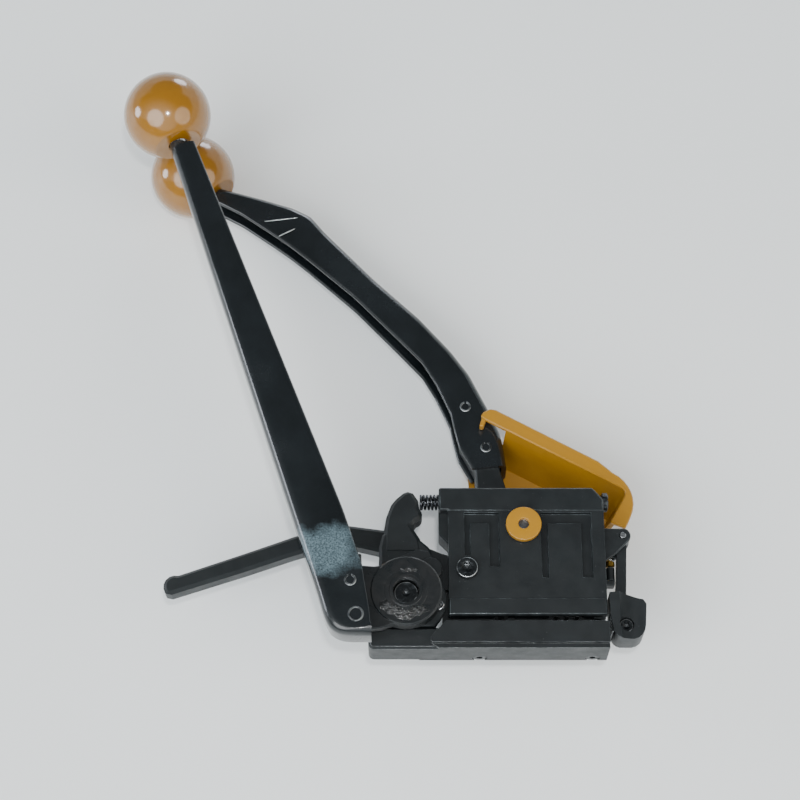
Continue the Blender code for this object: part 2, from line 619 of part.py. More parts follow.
def rocker():
    """Casting that carries the feed shaft between two cheeks, with the spring hook and lift lever."""
    hx, hy = HUB
    shoulder = [(-78.0, -27.0), (-77.5, -10.0), (-74.9, -0.6), (-60.0, 0.5), (-55.5, -5.4), (-49.5, -10.5),
                (-48.2, -20.0), (-48.0, -26.0)]
    back = (arc(hx, hy, 18.5, 190, 225, 3) + [(-76.0, -56.3), (-51.0, -56.3)]
            + arc(hx, hy, 18.5, -45, 20, 5) + shoulder[::-1])
    front = (arc(hx, hy, 21.3, 190, 222, 3) + [(-78.5, -56.3), (-48.4, -56.3)]
             + arc(hx, hy, 21.3, -42, 25, 6)
             + [(-46.0, -26.0), (-48.2, -20.0), (-50.5, -14.5), (-57.0, -13.2), (-76.3, -22.0), (-78.0, -27.0)])
    cheeks = [slab(back, *ROCKER_SPAN[0]), slab(front, *ROCKER_SPAN[1])]
    bridge = slab([(-77.5, -10.0), (-75.5, -2.0), (-60.0, -1.0), (-55.5, -6.0), (-49.8, -11.0),
                   (-48.6, -20.0), (-49.0, -27.5), (-77.0, -27.5)], 47.0, 61.0)
    hook = ([(-75.1, -14.0), (-74.9, -0.6), (-73.8, 6.6), (-71.1, 14.1), (-68.4, 17.6), (-64.5, 21.0),
             (-60.2, 22.6), (-56.4, 16.6)] + arc(-58.6, 8.6, 4.3, 50, -75, 5)
            + [(-59.9, 1.5), (-55.5, -5.4), (-54.0, -14.0)])
    lever = ([(-58.0, -1.0), (-75.2, 2.3), (-93.9, 4.9), (-108.0, 3.6), (-123.4, -1.3), (-149.9, -11.0),
              (-176.0, -20.2)] + arc(-187.2, -29.6, 6.2, 75, 240, 7)
             + [(-150.0, -21.6), (-124.0, -12.4), (-108.0, -7.6), (-90.2, -7.2), (-76.0, -10.5),
                (-60.0, -14.0)])
    lug = slab([(-52.0, -9.0), (-44.0, -12.5)] + arc(*PIVOT, 7.6, 75, -100, 10)
               + [(-44.0, -33.0), (-52.0, -27.0)], WALL_Z + 0.6, 56.4)
    web = slab([(-76.0, -24.0), (-57.0, -15.5), (-50.5, -16.5), (-49.0, -27.5), (-77.0, -27.5)], 60.0, 63.0)
    ear = soften(disc((hx + 13.0, hy + 17.0), 6.2, 63.0, 67.0, sides=24), 0.4)
    body = join(cheeks[0], soften(cheeks[1], 1.1), soften(bridge, 1.5),
                soften(slab(hook, 48.6, 61.6), 2.0), soften(slab(lever, 42.5, 54.0), 1.8), lug, web, ear)
    holes = [disc(HUB, 8.3, 40, 70), disc(PIVOT, 4.6, 40, 60, sides=20),
             disc(HUB, WHEEL_R + 0.8, ROCKER_SPAN[0][1], ROCKER_SPAN[1][0], sides=32),
             disc(PAWL_SEAT, 1.6, 60, 70, sides=12)]
    return cut(body, *holes)


PAWL_SEAT = (HUB[0] + 17.6, HUB[1] - 4.6)         # holding pawl pin
DRIVE_SEAT = (HUB[0] - 17.4, HUB[1] + 3.0)        # drive pawl pin


def feed_wheel():
    """Serrated wheel that grips the strap."""
    outline = []
    for i in range(40):
        turn = math.tau * i / 40
        for step, radius in ((0.0, WHEEL_R), (0.45, WHEEL_R - 0.8)):
            angle = turn + step * math.tau / 40
            outline.append((HUB[0] + radius * math.cos(angle), HUB[1] + radius * math.sin(angle)))
    return cut(slab(outline, 52.0, 61.4), disc(HUB, FEED_SHAFT_R + GAP, 50, 63))


def ratchet_wheel():
    """Ratchet wheel with hooked teeth, on the front of the feed shaft."""
    outline = []
    for i in range(RATCHET_TEETH):
        for step, radius in ((0.0, RATCHET_R), (0.9, RATCHET_R - 1.7)):
            angle = math.tau * (i + step) / RATCHET_TEETH
            outline.append((HUB[0] + radius * math.cos(angle), HUB[1] + radius * math.sin(angle)))
    return cut(slab(outline, 67.2, 72.2), disc(HUB, FEED_SHAFT_R + GAP, 60, 75))


def pawl(seat, tip_angle, lean):
    """Pawl on its pin, with a nose that ends just clear of the ratchet's tooth circle.

    lean is 1 where the pawl's outer side lies to the left of its run from pin to nose, else -1.
    """
    tip = Vector(HUB) + Vector((math.cos(tip_angle), math.sin(tip_angle))) * (RATCHET_R + 0.5)
    seat_point = Vector(seat)
    run = (tip - seat_point).normalized()
    side = Vector((-run.y, run.x)) * lean
    start = math.degrees(math.atan2(side.y, side.x))
    back = arc(*seat, 2.7, start, start + 180 * lean, 10)
    nose = [tuple(tip - side * 0.1), tuple(tip + side * 0.9)]
    return cut(slab(back + nose, 67.4, 69.6), disc(seat, 1.6, 60, 75, sides=12))


def pawl_spring(seat):
    return coil((*seat, 70.1), (*seat, 71.6), 2.3, 0.25, 1.5)


def feed_screw():
    """Retaining screw and washer in the front of the feed shaft."""
    washer = soften(disc(HUB, 6.2, 74.9, 76.0, sides=20), 0.2)
    head = soften(disc(HUB, 3.4, 75.5, 78.6, sides=20), 0.6)
    return cut(join(washer, head), disc(HUB, 1.7, 77.2, 80, sides=6))


# ---------------------------------------------------------------- tension hub and lever

TENSION_PINS = ((-92.1, -39.5), (-89.0, -58.0))


def tension_hub():
    """Cast hub: a round boss over the ratchet, and an arm that fills the bottom of the channel."""
    boss = soften(disc(HUB, HUB_R, 72.7, HUB_Z, sides=36), 0.9)
    neck = soften(slab([(-63, -26.0), (-80.0, -28.0), (-104.0, -26.0), (-98.5, -52.0), (-91.5, -63.5),
                        (-76.0, -62.0), (-63, -57.0)], 75.1, HUB_Z - 0.6), 0.6, 1)
    core = soften(slab([(-86.5, -24.0), (-106.0, -24.0), (-100.5, -46.0), (-96.5, -60.5), (-93.5, -64.5),
                        (-85.0, -64.5), (-85.5, -44.0)], 75.1, 88.9), 0.6, 1)
    body = join(boss, neck, core)
    mouth = rod((*HUB, HUB_Z - 1.4), (*HUB, HUB_Z + 0.6), FEED_SHAFT_R + 0.3, FEED_SHAFT_R + 2.6)
    holes = [disc(HUB, FEED_SHAFT_R + GAP, 70, 85), mouth, disc(DRIVE_SEAT, 1.6, 70, 78, sides=12),
             disc(TENSION_PINS[0], 3.6, 70, 95, sides=16), disc(TENSION_PINS[1], 4.6, 70, 95, sides=20)]
    return cut(body, *holes)


TENSION_WEB = ([(-198.1, 225.0), (-157.3, 101.0), (-124.2, 0.0), (-111.5, -38.5), (-106.0, -55.0)]
               + arc(-94.6, -57.0, 11.4, 190, 268, 5) + [(-80.9, -68.4)])
TENSION_FREE = [(-183.6, 225.4), (-134.9, 100.0), (-96.2, 0.0), (-86.6, -28.6), (-83.4, -45.0),
                (-81.2, -58.0), (-80.9, -68.4)]


def tension_channel():
    """The web runs down the left side and closes the bottom end."""
    body = channel(TENSION_WEB, TENSION_FREE[:-1], 1, TENSION_Z, TENSION_KNOB)
    holes = [disc(TENSION_PINS[0], 3.6, 70, 95, sides=16), disc(TENSION_PINS[1], 4.6, 70, 95, sides=20)]
    return cut(body, *holes)


def tension_pin():
    """Solid rivet pin with a dished end."""
    body = soften(disc(TENSION_PINS[1], 4.3, 72.1, 92.5, sides=20), 0.5)
    return cut(body, disc(TENSION_PINS[1], 3.2, 91.7, 94, sides=20))


# ---------------------------------------------------------------- gripper

def gripper_lever():
    """Lever on the lug's pin, with a nose over the spring and a broad toe beside the base."""
    arm = [(56.0, -7.0), (55.3, -20.0), (54.6, -36.0), (57.0, -42.0), (48.0, -42.0), (49.4, -30.0),
           (50.4, -13.0), (50.3, -9.8), (49.2, -8.6), (45.4, -8.6), (45.4, -5.6), (50.5, -2.0)]
    arm += arc(*GRIP, 4.2, 160, -30, 10)
    toe = ([(44.7, -37.4), (45.0, -49.0), (45.9, -56.0)] + arc(51.6, -56.6, 5.8, 175, 262, 4)
           + arc(56.4, -55.6, 6.8, -85, 0, 4) + [(64.0, -44.0), (62.4, -41.0), (56.0, -38.6), (50.0, -36.9)])
    body = join(soften(slab(arm, 50.8, 56.0), 0.6), soften(slab(toe, 47.0, 66.0), 1.0))
    face = rod((56.8, -70, 72.6), (56.8, -20, 72.6), 9.5, sides=36)
    holes = [disc(GRIP, 2.0, 40, 70, sides=12), face, disc(TOE_SCREW, 4.0, 57.0, 70, sides=20),
             disc(TOE_SCREW, 2.3, 40, 70, sides=12), box(43.0, 46.6, -60.0, -48.6, 51.0, 64.0)]
    return cut(body, *holes)


TOE_SCREW = (53.4, -54.4)


def gripper_pad():
    """Hardened toothed pad let into the toe, facing the end of the base."""
    outline = [(46.3, -58.4), (46.3, -48.9), (45.2, -48.9)]
    for i in range(5):
        y = -49.4 - i * 1.8
        outline += [(44.4, y), (45.2, y - 0.9)]
    return slab(outline + [(45.4, -58.4)], 51.3, 63.7)


def gripper_screw():
    body = socket_screw(TOE_SCREW, 3.7, (57.3, 61.0), 2.0, (47.6, 58.0), 1.7)
    return body


def spring_seat():
    """Black sleeve under the gripper's spring, on the housing's shelf."""
    return soften(rod((46.9, -27.3, 53.4), (46.9, -19.6, 53.4), 2.3, sides=16), 0.4)


def spring_guide():
    """Brass guide between the sleeve and the spring."""
    collar = soften(rod((46.9, -19.3, 53.4), (46.9, -16.4, 53.4), 2.5, sides=16), 0.3)
    return join(collar, rod((46.9, -17.0, 53.4), (46.9, -12.6, 53.4), 0.9, sides=12))


# ---------------------------------------------------------------- assembly

finish("base_plate", base_plate(), BLACK_OXIDE, FIXED)
for side, x in zip(("left", "right"), BASE_SCREW_X):
    finish("base_screw_" + side, base_screw(x), BLACK_OXIDE, FIXED)
finish("lower_die", lower_die(), TOOL_STEEL, FIXED)
finish("anvil_plug", anvil_plug(), TOOL_STEEL, FIXED)
finish("housing", housing(), BLACK_OXIDE, FIXED)
finish("front_plate", front_plate(), BLACK_OXIDE, FIXED)
for side, spot in zip(("top_left", "top_right", "low_right"), PLATE_SCREWS):
    finish("plate_screw_" + side, plate_screw(spot), BLACK_OXIDE, FIXED)
finish("rocker_pivot_bolt",
       socket_screw(PIVOT, 5.7, (66.3, 69.7), 2.9, (45.4, 60.0), 2.7), BLACK_OXIDE, FIXED)
finish("spring_rod", spring_rod(), BLACK_OXIDE, FIXED)
finish("shaft_bush_front", ring((0, 0), 5.3, 7.7, 60.5, 65.9), BRONZE, FIXED)
finish("shaft_bush_back", ring((0, 0), 5.3, 7.7, 45.2, 50.8), BRONZE, FIXED)
finish("gripper_pivot_pin", soften(disc(GRIP, 1.7, 45.6, 60.6, sides=16), 0.3), BRIGHT_STEEL, FIXED)
finish("gripper_spring_seat", spring_seat(), BLACK_OXIDE, FIXED)
finish("gripper_spring_guide", spring_guide(), BRASS, FIXED)
finish("gripper_spring", coil((46.9, -15.7, 53.4), (46.9, -9.3, 53.4), 1.7, 0.35, 4.0), BRIGHT_STEEL, FIXED)

finish("punch_slide", punch_slide(), TOOL_STEEL, SLIDING)
finish("strap_punches", punches(), TOOL_STEEL, SLIDING)
finish("cutter_blade", cutter_blade(), TOOL_STEEL, SLIDING)

finish("sealing_shaft", sealing_shaft(), TOOL_STEEL, SEALING)
finish("sealing_shaft_key", sealing_key(), BRIGHT_STEEL, SEALING)
finish("sealing_shaft_nut", shaft_nut(), BLACK_OXIDE, SEALING)
finish("sealing_shaft_cap", shaft_cap(), YELLOW_PAINT, SEALING)
finish("sealing_arm", sealing_arm(), BLACK_OXIDE, SEALING)
finish("sealing_lever", sealing_channel(), BLACK_ENAMEL, SEALING)
for side, spot in zip(("upper", "lower"), SEALING_PINS):
    finish("sealing_roll_pin_" + side, roll_pin(spot, 3.2, 12.8, 37.3), BLACK_OXIDE, SEALING)
finish("sealing_guard", sealing_guard(), YELLOW_PAINT, SEALING)
for side, spot in zip(("top", "left", "right"), GUARD_SCREWS):
    finish("guard_screw_" + side, guard_screw(spot), BRIGHT_STEEL, SEALING)
SEALING_END = (-173.6, 222.6, SEALING_KNOB[2])
finish("sealing_knob", knob(SEALING_KNOB, SEALING_END), YELLOW_KNOB, SEALING)
finish("sealing_knob_stud", stud(SEALING_KNOB, SEALING_END, 20.7), BRIGHT_STEEL, SEALING)

finish("rocker", rocker(), BLACK_OXIDE, ROCKING)
finish("rocker_bush", ring(PIVOT, 3.2, 4.3, 51.8, 56.2, sides=20), BRONZE, ROCKING)
finish("feed_bush_front", ring(HUB, 6.8, 8.0, 62.2, 66.1), BRONZE, ROCKING)
finish("feed_bush_back", ring(HUB, 6.8, 8.0, 46.2, 51.2), BRONZE, ROCKING)
finish("holding_pawl_pin", disc(PAWL_SEAT, 1.3, 62.3, 71.9, sides=12), BRIGHT_STEEL, ROCKING)
finish("holding_pawl_spring", pawl_spring(PAWL_SEAT), BRIGHT_STEEL, ROCKING)
finish("rocker_spring", coil((-55.2, ROD_Y, ROD_Z), (-35.9, ROD_Y, ROD_Z), 3.7, 0.65, 6.0),
       BLACK_OXIDE, ROCKING)

finish("feed_shaft", soften(disc(HUB, FEED_SHAFT_R, 46.4, 74.6, sides=32), 0.5), TOOL_STEEL, FEEDING)
finish("feed_wheel", feed_wheel(), TOOL_STEEL, FEEDING)
finish("ratchet_wheel", ratchet_wheel(), TOOL_STEEL, FEEDING)
finish("feed_shaft_screw", feed_screw(), BLACK_OXIDE, FEEDING)

HOLDING = joint_empty("holding_pawl_axis", *PAWL_SEAT)
DRIVING = joint_empty("drive_pawl_axis", *DRIVE_SEAT)
finish("holding_pawl", pawl(PAWL_SEAT, math.radians(20), -1), TOOL_STEEL, HOLDING)
finish("drive_pawl", pawl(DRIVE_SEAT, math.radians(142), 1), TOOL_STEEL, DRIVING)

finish("tension_hub", tension_hub(), BLACK_OXIDE, TENSIONING)
finish("tension_lever", tension_channel(), BLACK_ENAMEL, TENSIONING)
finish("tension_roll_pin", roll_pin(TENSION_PINS[0], 3.3, 71.8, 92.3), BLACK_OXIDE, TENSIONING)
finish("tension_rivet_pin", tension_pin(), BLACK_OXIDE, TENSIONING)
TENSION_END = (-191.7, 222.5, TENSION_KNOB[2])
finish("tension_knob", knob(TENSION_KNOB, TENSION_END), YELLOW_KNOB, TENSIONING)
finish("tension_knob_stud", stud(TENSION_KNOB, TENSION_END, 20.7), BRIGHT_STEEL, TENSIONING)
finish("drive_pawl_pin", disc(DRIVE_SEAT, 1.3, 67.0, 77.6, sides=12), BRIGHT_STEEL, TENSIONING)
finish("drive_pawl_spring", pawl_spring(DRIVE_SEAT), BRIGHT_STEEL, TENSIONING)

finish("gripper_lever", gripper_lever(), BLACK_OXIDE, GRIPPING)
finish("gripper_pad", gripper_pad(), TOOL_STEEL, GRIPPING)
finish("gripper_screw", gripper_screw(), BLACK_OXIDE, GRIPPING)
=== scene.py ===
import json
import math

import bmesh
import bpy
import numpy as np
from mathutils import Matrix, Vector


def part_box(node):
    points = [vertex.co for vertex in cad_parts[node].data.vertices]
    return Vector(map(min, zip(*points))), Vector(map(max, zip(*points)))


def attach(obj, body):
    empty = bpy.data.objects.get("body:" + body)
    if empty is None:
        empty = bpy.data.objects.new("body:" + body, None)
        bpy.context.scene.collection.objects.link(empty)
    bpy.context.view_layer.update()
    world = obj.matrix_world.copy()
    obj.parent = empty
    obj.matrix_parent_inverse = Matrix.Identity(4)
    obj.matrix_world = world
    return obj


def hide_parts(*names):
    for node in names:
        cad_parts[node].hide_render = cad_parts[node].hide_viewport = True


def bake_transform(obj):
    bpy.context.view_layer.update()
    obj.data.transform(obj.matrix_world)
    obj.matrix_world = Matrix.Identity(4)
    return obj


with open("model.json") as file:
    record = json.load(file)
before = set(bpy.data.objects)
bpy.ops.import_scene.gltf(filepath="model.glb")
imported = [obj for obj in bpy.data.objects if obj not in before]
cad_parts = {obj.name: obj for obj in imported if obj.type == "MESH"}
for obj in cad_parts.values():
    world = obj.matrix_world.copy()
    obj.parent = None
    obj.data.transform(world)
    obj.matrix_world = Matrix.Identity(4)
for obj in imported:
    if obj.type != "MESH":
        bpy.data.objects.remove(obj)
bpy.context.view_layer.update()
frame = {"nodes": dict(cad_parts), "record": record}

# The sealing shaft's axis in millimetres, found from its cap's box: sizes below are in millimetres
# from that axis, with z from the resting plane.
cap_low, cap_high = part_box("sealing_shaft_cap")
AXIS = np.array([(cap_low.x + cap_high.x) / 2, (cap_low.y + cap_high.y) / 2, 0.0]) * 1000


# ---------------------------------------------------------------- camera, floor and light
# A tool that lies on its back on a plain pale table, seen from above its sole. The light is a soft
# dome that is bright behind the viewer and dark behind the tool, two large front panels, two low ones
# that draw the edges, and a small lamp for the glint on the knobs.

LOOK_AT = Vector((14.6, -26.5, 63.0)) / 1000
CAMERA_DISTANCE = 1145.0 / 1000
CAMERA_ELEVATION = math.radians(66)

camera_data = bpy.data.cameras.new("camera")
camera_data.lens, camera_data.sensor_width = 93.2, 36.0
camera_data.clip_start, camera_data.clip_end = 0.05, 20.0
camera = bpy.data.objects.new("camera", camera_data)
back = Vector((0, -math.cos(CAMERA_ELEVATION), math.sin(CAMERA_ELEVATION)))
camera.location = LOOK_AT + back * CAMERA_DISTANCE
camera.rotation_euler = (-back).to_track_quat("-Z", "Y").to_euler()
bpy.context.scene.collection.objects.link(camera)
bpy.context.scene.camera = camera


def linear(hex_colour):
    """sRGB hex to linear: each channel is c / 12.92 when dark, else ((c + 0.055) / 1.055) to 2.4."""
    channels = [int(hex_colour[i:i + 2], 16) / 255 for i in (1, 3, 5)]
    return (*[c / 12.92 if c <= 0.04045 else ((c + 0.055) / 1.055) ** 2.4 for c in channels], 1.0)


def node(tree, kind, links=(), **settings):
    """Add a node, set its attributes or inputs by name, and link (input, output socket) pairs."""
    made = tree.nodes.new("ShaderNode" + kind)
    for name, value in settings.items():
        if hasattr(made, name):
            setattr(made, name, value)
        else:
            made.inputs[name.replace("_", " ")].default_value = value
    for name, output in links:
        tree.links.new(made.inputs[name], output)
    return made


def new_material(name, **settings):
    """A material with a Principled shader whose sockets take the given settings."""
    made = bpy.data.materials.new(name)
    made.use_nodes = True
    shader = made.node_tree.nodes["Principled BSDF"]
    for socket, value in settings.items():
        shader.inputs[socket.replace("_", " ")].default_value = value
    place = made.node_tree.nodes.new("ShaderNodeTexCoord").outputs["Object"]
    return made, made.node_tree, shader, place


def ramp(tree, source, low, high, dark=0.0, light=1.0):
    """Remap a value from low..high to dark..light, held at both ends."""
    made = node(tree, "MapRange", [("Value", source)], From_Min=low, From_Max=high,
                To_Min=dark, To_Max=light)
    return made.outputs["Result"]


def blend_colours(tree, factor, first, second):
    """Mix two sRGB hex colours or colour sockets by a factor socket."""
    made = tree.nodes.new("ShaderNodeMix")
    made.data_type = "RGBA"
    tree.links.new(made.inputs["Factor"], factor)
    for index, colour in ((6, first), (7, second)):
        if isinstance(colour, str):
            made.inputs[index].default_value = linear(colour)
        else:
            tree.links.new(made.inputs[index], colour)
    return made.outputs[2]


def noise(tree, place, size_mm, detail=3.0, roughness=0.5, distortion=0.0):
    """Fractal noise whose largest blotch is about size_mm across."""
    made = node(tree, "TexNoise", [("Vector", place)], Scale=1000 / size_mm, Detail=detail,
                Roughness=roughness, Distortion=distortion)
    return made.outputs["Fac"]


def bumped(tree, shader, height, depth_mm, strength=1.0):
    """Bump the shader by a height socket, whose 0..1 stands for depth_mm."""
    made = node(tree, "Bump", [("Height", height)], Strength=strength, Distance=depth_mm / 1000)
    tree.links.new(shader.inputs["Normal"], made.outputs["Normal"])


# melamine table top, pale and smooth with a very fine pebble
table_top, tree, shader, place = new_material("melamine_table", Roughness=0.55,
                                              Base_Color=linear("#f3f6f6"))
bumped(tree, shader, noise(tree, place, 1.2), 0.02, 0.4)
floor_mesh = bpy.data.meshes.new("table_top")
# The table lies just under the tool, in metres. Past the bend its height rises as the square of the
# distance beyond the bend, like a shallow dish, so no far edge shows.
FLOOR_HALF, FLOOR_BEND, FLOOR_RISE, FLOOR_POINTS = 7.0, 3.6, 2.2, 81
FLOOR_Z = -0.0004
reach = np.linspace(-FLOOR_HALF, FLOOR_HALF, FLOOR_POINTS)
fx, fy = np.meshgrid(reach, reach)
beyond = np.clip((np.hypot(fx, fy) - FLOOR_BEND) / (FLOOR_HALF - FLOOR_BEND), 0, None)
fz = FLOOR_Z + FLOOR_RISE * beyond ** 2
index = np.arange(FLOOR_POINTS ** 2).reshape(FLOOR_POINTS, FLOOR_POINTS)
quads = np.stack([index[:-1, :-1], index[:-1, 1:], index[1:, 1:], index[1:, :-1]], -1).reshape(-1, 4)
floor_mesh.from_pydata(np.stack([fx, fy, fz], -1).reshape(-1, 3).tolist(), [], quads.tolist())
floor_mesh.materials.append(table_top)
floor_mesh.shade_smooth()
floor = bpy.data.objects.new("table_top", floor_mesh)
bpy.context.scene.collection.objects.link(floor)


def panel(name, place, size, watts, colour):
    """A round area light aimed at the middle of the tool."""
    data = bpy.data.lights.new(name, "AREA")
    data.shape = "DISK"
    data.size, data.energy, data.color = size, watts, linear(colour)[:3]
    lamp = bpy.data.objects.new(name, data)
    lamp.location = place
    lamp.rotation_euler = (LOOK_AT - Vector(place)).to_track_quat("-Z", "Y").to_euler()
    bpy.context.scene.collection.objects.link(lamp)


panel("front_left_panel", (-1.5, -1.7, 2.3), 2.6, 75, "#fbfdff")
panel("front_right_panel", (2.1, -1.0, 1.8), 2.4, 36, "#fff8ee")
panel("left_edge_panel", (-1.9, 0.1, 0.5), 0.6, 10, "#eef4ff")
panel("back_edge_panel", (0.5, 2.0, 0.35), 0.7, 9, "#eef4ff")
panel("glint_lamp", (0.05, -0.46, 1.3), 0.06, 6, "#ffffff")
world = bpy.data.worlds.new("studio")
world.use_nodes = True
sky, backdrop = world.node_tree, world.node_tree.nodes["Background"]
backdrop.inputs["Color"].default_value = linear("#eaf1f5")
# the dome is brightest towards BRIGHT_SIDE, and fades as the cosine of the angle from it falls
BRIGHT_SIDE = (-0.28, -0.78, 0.56)
looking = sky.nodes.new("ShaderNodeTexCoord").outputs["Object"]
facing = node(sky, "VectorMath", [(0, looking)], operation="DOT_PRODUCT")
facing.inputs[1].default_value = BRIGHT_SIDE
glow = node(sky, "MapRange", [("Value", facing.outputs["Value"])], interpolation_type="SMOOTHSTEP",
            From_Min=0.3, From_Max=1.0, To_Min=0.2, To_Max=1.7)
sky.links.new(backdrop.inputs["Strength"], glow.outputs["Result"])
bpy.context.scene.world = world


# ---------------------------------------------------------------- body: base, housing, front plate
# Milled and cast steel blocks, bolted together. All are blackened by a hot oxide bath, which leaves a
# satin, slightly blue-grey black that rubs through to bright steel along the edges that get handled.

# black oxide on milled steel: nearly neutral black, its sheen broken by faint blotches of oil
black_oxide, tree, shader, place = new_material("black_oxide_steel", Metallic=0.25, IOR=1.5)
blotch = noise(tree, place, 16.0, 4.0, 0.6)
shade = blend_colours(tree, ramp(tree, blotch, 0.3, 0.7), "#14181a", "#1c2123")
specks = ramp(tree, noise(tree, place, 0.9, 2.0), 0.76, 0.79)
shade = blend_colours(tree, specks, shade, "#5d6163")
tree.links.new(shader.inputs["Base Color"], shade)
sheen = ramp(tree, noise(tree, place, 7.0, 5.0, 0.65), 0.3, 0.7, 0.4, 0.52)
tree.links.new(shader.inputs["Roughness"], sheen)
grain = noise(tree, place, 0.7, 6.0, 0.7)
bumped(tree, shader, grain, 0.05, 0.5)

# edge of an oxide-black part: rubbed through to steel in long broken streaks
worn_edge, tree, shader, place = new_material("worn_oxide_edge")
streaks = noise(tree, place, 9.0, 6.0, 0.75)
bare_wear_and_highlight = ramp(tree, streaks, 0.43, 0.53)
tree.links.new(shader.inputs["Base Color"], blend_colours(tree, bare_wear_and_highlight, "#232729", "#a9adae"))
tree.links.new(shader.inputs["Metallic"], ramp(tree, bare_wear_and_highlight, 0.0, 1.0, 0.25, 1.0))
tree.links.new(shader.inputs["Roughness"], ramp(tree, streaks, 0.4, 0.7, 0.45, 0.28))
bumped(tree, shader, streaks, 0.05, 0.4)

# edge of an oxide-black part that nothing rubs: a painted highlight, lighter blue-grey streaks
# along the rounded strip where the edge would catch the light
highlit_oxide_edge, tree, shader, place = new_material("oxide_edge_painted_highlight", Metallic=0.3)
streaks = noise(tree, place, 8.0, 5.0, 0.7)
bare_wear_and_highlight = ramp(tree, streaks, 0.48, 0.7)
tree.links.new(shader.inputs["Base Color"], blend_colours(tree, bare_wear_and_highlight, "#2a3032", "#6a7376"))
tree.links.new(shader.inputs["Roughness"], ramp(tree, streaks, 0.3, 0.7, 0.42, 0.3))


# a joint this flat is one face, and an edge sharper than SHARP gets rounded
SAME_FACE, SHARP = math.radians(0.6), math.radians(28)


def rounded(cad_name, width_mm, body, face, edge):
    """A copy of a CAD part with its sharp edges rounded; the rounded strips get the edge material."""
    source = frame["nodes"][cad_name]
    work = bmesh.new()
    work.from_mesh(source.data)
    bmesh.ops.remove_doubles(work, verts=work.verts, dist=2e-6)
    bmesh.ops.dissolve_limit(work, angle_limit=SAME_FACE, verts=work.verts, edges=work.edges)
    mesh = bpy.data.meshes.new(cad_name + "_finished")
    work.to_mesh(mesh)
    work.free()
    for used in (face, edge):
        mesh.materials.append(used)
    mesh.shade_smooth()
    piece = bpy.data.objects.new(cad_name + "_finished", mesh)
    bpy.context.scene.collection.objects.link(piece)
    bevel = piece.modifiers.new("rounding", "BEVEL")
    bevel.width, bevel.segments, bevel.limit_method = width_mm / 1000, 3, "ANGLE"
    bevel.angle_limit, bevel.material = SHARP, 1
    bevel.miter_outer = "MITER_ARC"
    flats = piece.modifiers.new("flat_faces", "WEIGHTED_NORMAL")
    flats.weight = 100
    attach(piece, body)
    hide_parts(cad_name)


rounded("base_plate", 0.45, "frame", black_oxide, worn_edge)
rounded("housing", 0.25, "frame", black_oxide, highlit_oxide_edge)
rounded("front_plate", 0.3, "frame", black_oxide, highlit_oxide_edge)
rounded("gripper_spring_seat", 0.2, "frame", black_oxide, highlit_oxide_edge)


# ---------------------------------------------------------------- turned pieces
# Three cap screws and the painted cap on the sealing shaft are lathe work: a rounded profile spun
# round an axis. A screw's socket follows a hexagon instead of a circle.

ARC_STEPS = 5


def filleted(corners, radius):
    """Round each inner corner of a polyline between the points where a circle of that radius touches.

    A curve of the second degree, pulled towards the corner, joins the two points. On a short edge
    the points stay within 0.45 of its length from the corner.
    """
    points = [np.array(c, float) for c in corners]
    path = [points[0]]
    for before, corner, after in zip(points, points[1:], points[2:]):
        one, two = before - corner, after - corner
        short = min(np.linalg.norm(one), np.linalg.norm(two))
        one, two = one / np.linalg.norm(one), two / np.linalg.norm(two)
        half = math.acos(np.clip(one @ two, -1, 1)) / 2
        cut = min(radius / math.tan(half), short * 0.45)
        t = np.linspace(0, 1, ARC_STEPS + 1)[:, None]
        arc = ((1 - t) ** 2 * (corner + one * cut) + 2 * t * (1 - t) * corner
               + t ** 2 * (corner + two * cut))
        path.extend(arc)
    path.append(points[-1])
    return np.array(path)


def surface(name, grid, material, body, replaced=(), smooth=40, rubbed=None):
    """Make a grid of points (rows, around, 3) in millimetres from the shaft axis into a mesh piece.

    Neighbouring points make quads, the last column joins the first, and points that coincide are
    merged, which closes seams and poles. rubbed is (from, to, material) for a band of rows, and
    smooth is the angle in degrees up to which two faces are shaded as one. A piece given no body
    is placed by its caller.
    """
    rows, around = grid.shape[:2]
    index = np.arange(rows * around).reshape(rows, around)
    following = np.roll(index, -1, axis=1)
    quads = np.stack([index[:-1], following[:-1], following[1:], index[1:]], -1).reshape(-1, 4)
    mesh = bpy.data.meshes.new(name)
    mesh.from_pydata(((grid.reshape(-1, 3) + AXIS) / 1000).tolist(), [], quads.tolist())
    mesh.materials.append(material)
    if rubbed:
        row = np.arange(len(quads)) // around
        mesh.materials.append(rubbed[2])
        banded = (row >= rubbed[0]) & (row < rubbed[1])
        mesh.polygons.foreach_set("material_index", banded.astype(np.int32))
    work = bmesh.new()
    work.from_mesh(mesh)
    bmesh.ops.remove_doubles(work, verts=work.verts, dist=1e-7)
    bmesh.ops.dissolve_degenerate(work, edges=work.edges, dist=1e-8)
    bmesh.ops.holes_fill(work, edges=[e for e in work.edges if e.is_boundary], sides=0)
    bmesh.ops.recalc_face_normals(work, faces=work.faces)
    work.to_mesh(mesh)
    work.free()
    mesh.shade_smooth()
    mesh.set_sharp_from_angle(angle=math.radians(smooth))
    piece = bpy.data.objects.new(name, mesh)
    bpy.context.scene.collection.objects.link(piece)
    if body:
        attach(piece, body)
    if replaced:
        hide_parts(*replaced)
    return piece


